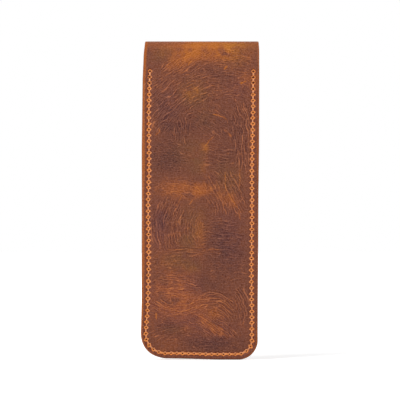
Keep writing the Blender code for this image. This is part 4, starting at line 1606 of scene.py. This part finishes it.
class SeamBuilder:
    """Gathers copies of the loop and the bar into one mesh."""

    def __init__(self, name, seed):
        self.name = name
        self.random = random.Random(seed)
        self.loop = unit_loop(TIGHT_CORD)
        self.slack_loop = unit_loop(SLACK_CORD)
        self.bar = unit_bar()
        self.places = []
        self.faces = []
        self.pale = []
        self.count = 0

    def copy(self, unit, origin, across, along, out, scale, pale):
        """Add a copy of a unit at a place, with its three directions and how pale its thread is."""
        places, faces = unit
        self.places.append((places * scale) @ np.array((across, along, out)) + origin)
        self.faces += [tuple(vertex + self.count for vertex in face) for face in faces]
        self.pale.append(np.zeros(len(places)) + pale)
        self.count += len(places)

    def run(self, holes, out, drawn=(), outward=0, closed=True):
        """Stitches through a row of holes: a loop at each and a bar on to the next. Drawn is 1 where they
        lie drawn out into one band, 0 where they stand apart and -1 where they are slack, with thin loops
        round open holes and short, wide bars. Outward is the side, 1 or -1, on which the loops are paler;
        on the bottom's band that paler side is a painted highlight on their upper halves. The last hole has
        no loop unless closed."""
        holes = np.array(holes, float)
        out = np.array(out, float)
        drawn = drawn or [0.0] * len(holes)
        for index, hole in enumerate(holes):
            last = index == len(holes) - 1
            step = hole - holes[index - 1] if last else holes[index + 1] - hole
            if closed or not last:
                self.stitch(hole, step, out, drawn[index], outward, last)

    def stitch(self, hole, step, out, drawn, outward, last):
        """A loop at a hole and, but for the last, the bar on to the next hole."""
        wobble = self.random.uniform
        along = step / np.linalg.norm(step)
        across = np.cross(out, along)
        lean = wobble(-0.16, 0.16)
        turned_across = across * math.cos(lean) + along * math.sin(lean)
        turned_along = along * math.cos(lean) - across * math.sin(lean)
        size = np.array((wobble(0.90, 1.10), wobble(0.90, 1.10), wobble(0.9, 1.1)))
        band = max(drawn, 0.0)
        slack = max(-drawn, 0.0)
        size *= (1 - 0.40 * band, 1 + 0.34 * band - 0.10 * slack, 1.0)
        centre = hole + across * wobble(-0.10, 0.10) + along * wobble(-0.10, 0.10)
        loop = self.slack_loop if slack > 0.5 else self.loop
        # The loops' outward side is paler, and more so in the band, where it paints a highlight on their
        # upper halves
        pale_and_lit = (0.5 + 0.25 * band) * smoothstep(-0.1, 0.9, outward * loop[0][:, 0])
        self.copy(loop, centre, turned_across, turned_along, out, size, pale_and_lit)
        if not last:
            middle = hole + step / 2 + across * wobble(-0.06, 0.06)
            tilt = wobble(-0.10, 0.10)
            bar_along = along * math.cos(tilt) + across * math.sin(tilt)
            bar_across = across * math.cos(tilt) - along * math.sin(tilt)
            bar_size = (1 + 0.6 * band + 0.4 * slack, 1 + 0.1 * band - 0.22 * slack, 1 + 0.1 * band)
            self.copy(self.bar, middle, bar_across, bar_along, out, bar_size, 1 - 0.6 * band)

    def build(self):
        """One mesh of all the copies, in metres."""
        mesh = bpy.data.meshes.new(self.name)
        places = np.concatenate(self.places) * MM
        mesh.from_pydata([tuple(place) for place in places], [], self.faces)
        obj = bpy.data.objects.new(self.name, mesh)
        bpy.context.scene.collection.objects.link(obj)
        select_only(obj)
        bpy.ops.object.mode_set(mode="EDIT")
        bpy.ops.mesh.select_all(action="SELECT")
        bpy.ops.mesh.normals_make_consistent(inside=False)
        bpy.ops.object.mode_set(mode="OBJECT")
        run = places[:, 0] * 0.8 + places[:, 2]
        draw_map(mesh, "Thread", np.concatenate(self.pale), run / MM / THREAD_TWIST)
        mesh.materials.append(thread_material())
        finish_piece(obj)
        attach(obj, "case")
        return obj


def front_level(up):
    """How far out the front's thread lies at a height: it climbs over the band's sewn ends."""
    on_band = BAND_LOW_Z - BAND_CLEAR < up < BAND_HIGH_Z + BAND_CLEAR
    return MARGIN_TOP_Y + (BAND_CLIMB if on_band else -FRONT_THREAD_SINK)


def sew_sides(builder, level, facing):
    """Stitches down both sides and along the bottom; level gives the leather's y at a height."""
    case = sizes()
    for side, radius in enumerate((case.left_corner, case.right_corner)):
        holes = []
        drawn = []
        for stitch in range(STITCHES_A_SIDE + 1):
            across, up, turn = seam_place(side, stitch, radius)
            holes.append((across, level(up), up + float(slant(across, up))))
            slack = smoothstep(3.0, 1.5, stitch - 1.5 * side)
            drawn.append(float(smoothstep(0.5, 1.1, abs(turn)) - slack))
        outward = -facing * (1 - 2 * side)
        builder.run(holes, (0, facing, 0), drawn, outward, closed=side == 0)


class PENCASE_OT_stitches(bpy.types.Operator):
    """Sew the back, the front and the divider"""

    bl_idname = "pen_case.stitches"
    bl_label = "Stitches"

    def execute(self, context):
        builder = SeamBuilder("back_stitches", 4)
        sew_sides(builder, lambda up: BACK_Y + BACK_THREAD_SINK, -1)
        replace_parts(builder.build(), "back_seam_thread")
        builder = SeamBuilder("front_stitches", 9)
        sew_sides(builder, front_level, 1)
        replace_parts(builder.build(), "front_seam_thread")
        for name, node, box, facing, seed in (
                ("divider_stitches", "divider_seam_thread", CAD_DIVIDER_THREAD, 1, 5),
                ("divider_stitches_inside", "divider_seam_thread_inside", CAD_INNER_THREAD, -1, 6)):
            builder = SeamBuilder(name, seed)
            low = box[0][2] / MM
            high = box[1][2] / MM
            level = (box[0][1] + box[1][1]) / 2 / MM
            count = round((high - low) / STITCH_PITCH)
            builder.run([(0, level, up) for up in np.linspace(high, low, count + 1)], (0, facing, 0))
            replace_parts(builder.build(), node)
        return {"FINISHED"}


class PENCASE_OT_stage(bpy.types.Operator):
    """Set the floor, the soft light and the camera"""

    bl_idname = "pen_case.stage"
    bl_label = "Studio"

    def execute(self, context):
        scene = context.scene
        scene.view_settings.view_transform = "Standard"
        deselect()
        bpy.ops.mesh.primitive_plane_add(size=8, location=(0, 0, -0.02 * MM))
        floor = context.object
        floor.name = "floor"
        floor.data.materials.append(self.floor_material())
        self.light_world(scene)
        for name, place, size, power in LAMPS:
            self.add_lamp(name, place, size, power)
        camera_data = bpy.data.cameras.new("camera")
        camera_data.sensor_width = 36
        camera_data.lens = CAMERA_LENS
        camera_data.clip_end = 50
        camera = bpy.data.objects.new("camera", camera_data)
        scene.collection.objects.link(camera)
        camera.location = CAMERA_PLACE
        camera.rotation_euler = (math.pi / 2, 0, 0)
        scene.camera = camera
        return {"FINISHED"}

    def seen(self, graph):
        """1 where the camera sees a thing, in person or in a reflection, and 0 where it only lights."""
        path = graph.add("ShaderNodeLightPath").node.outputs
        seen = graph.math("MAXIMUM", path["Is Camera Ray"], path["Is Glossy Ray"])
        return graph.math("MAXIMUM", seen, path["Is Transmission Ray"])

    def floor_material(self):
        """Pale floor that shows white to the camera but keeps the case's shadow."""
        material, graph, shader = new_material("Studio Floor")
        shader["Base Color"].default_value = FLOOR_GREY
        shader["Roughness"].default_value = 0.9
        shader["Specular IOR Level"].default_value = 0.0
        shader["Emission Color"].default_value = WHITE
        place = graph.add("ShaderNodeTexCoord", output="Object")
        away = graph.remap(graph.vector("LENGTH", place, output="Value"), 0.15, 0.5, 0.5, 1.0)
        graph.feed(shader["Emission Strength"], graph.math("MULTIPLY", self.seen(graph), away))
        return material

    def light_world(self, scene):
        """An even pale room that the camera sees as white."""
        world = bpy.data.worlds.new("studio")
        scene.world = world
        world.use_nodes = True
        graph = Graph(world.node_tree)
        background = world.node_tree.nodes["Background"].inputs
        background["Color"].default_value = WHITE
        strength = graph.math("MULTIPLY_ADD", self.seen(graph), 1 - ROOM_LIGHT, ROOM_LIGHT)
        graph.feed(background["Strength"], strength)

    def add_lamp(self, name, place, size, power):
        """A large square lamp that faces the case's middle."""
        data = bpy.data.lights.new(name, "AREA")
        data.size = size
        data.energy = power
        lamp = bpy.data.objects.new(name, data)
        bpy.context.scene.collection.objects.link(lamp)
        lamp.location = place
        aim = Vector(LAMP_AIM) - Vector(place)
        lamp.rotation_euler = aim.to_track_quat("-Z", "Y").to_euler()


class PENCASE_PT_panel(bpy.types.Panel):
    """Sizes, colours and the steps that build the case"""

    bl_idname = "PENCASE_PT_panel"
    bl_label = "Double Pen Case"
    bl_space_type = "VIEW_3D"
    bl_region_type = "UI"
    bl_category = "Pen Case"

    def draw(self, context):
        layout = self.layout
        for group in (context.scene.pen_case_sizes, context.scene.pen_case_colours):
            box = layout.box()
            for name in group.bl_rna.properties.keys():
                if name not in OWN_NAMES:
                    box.prop(group, name)
        for step in STEPS:
            layout.operator(step.bl_idname)


STEPS = (
    PENCASE_OT_back_hide,
    PENCASE_OT_flap_hide,
    PENCASE_OT_formed_front,
    PENCASE_OT_band,
    PENCASE_OT_divider,
    PENCASE_OT_stitches,
    PENCASE_OT_stage,
)
CLASSES = (PenCaseSizes, PenCaseColours, *STEPS, PENCASE_PT_panel)


def register():
    """Make the case's settings, steps and panel known to Blender."""
    for cls in CLASSES:
        bpy.utils.register_class(cls)
    bpy.types.Scene.pen_case_sizes = bpy.props.PointerProperty(type=PenCaseSizes)
    bpy.types.Scene.pen_case_colours = bpy.props.PointerProperty(type=PenCaseColours)


def unregister():
    """Take them back."""
    del bpy.types.Scene.pen_case_colours
    del bpy.types.Scene.pen_case_sizes
    for cls in reversed(CLASSES):
        bpy.utils.unregister_class(cls)


def main():
    """Build every piece and the stage."""
    register()
    bpy.ops.pen_case.back_hide()
    bpy.ops.pen_case.flap_hide()
    bpy.ops.pen_case.formed_front()
    bpy.ops.pen_case.band()
    bpy.ops.pen_case.divider()
    bpy.ops.pen_case.stitches()
    bpy.ops.pen_case.stage()


if __name__ == "__main__":
    main()
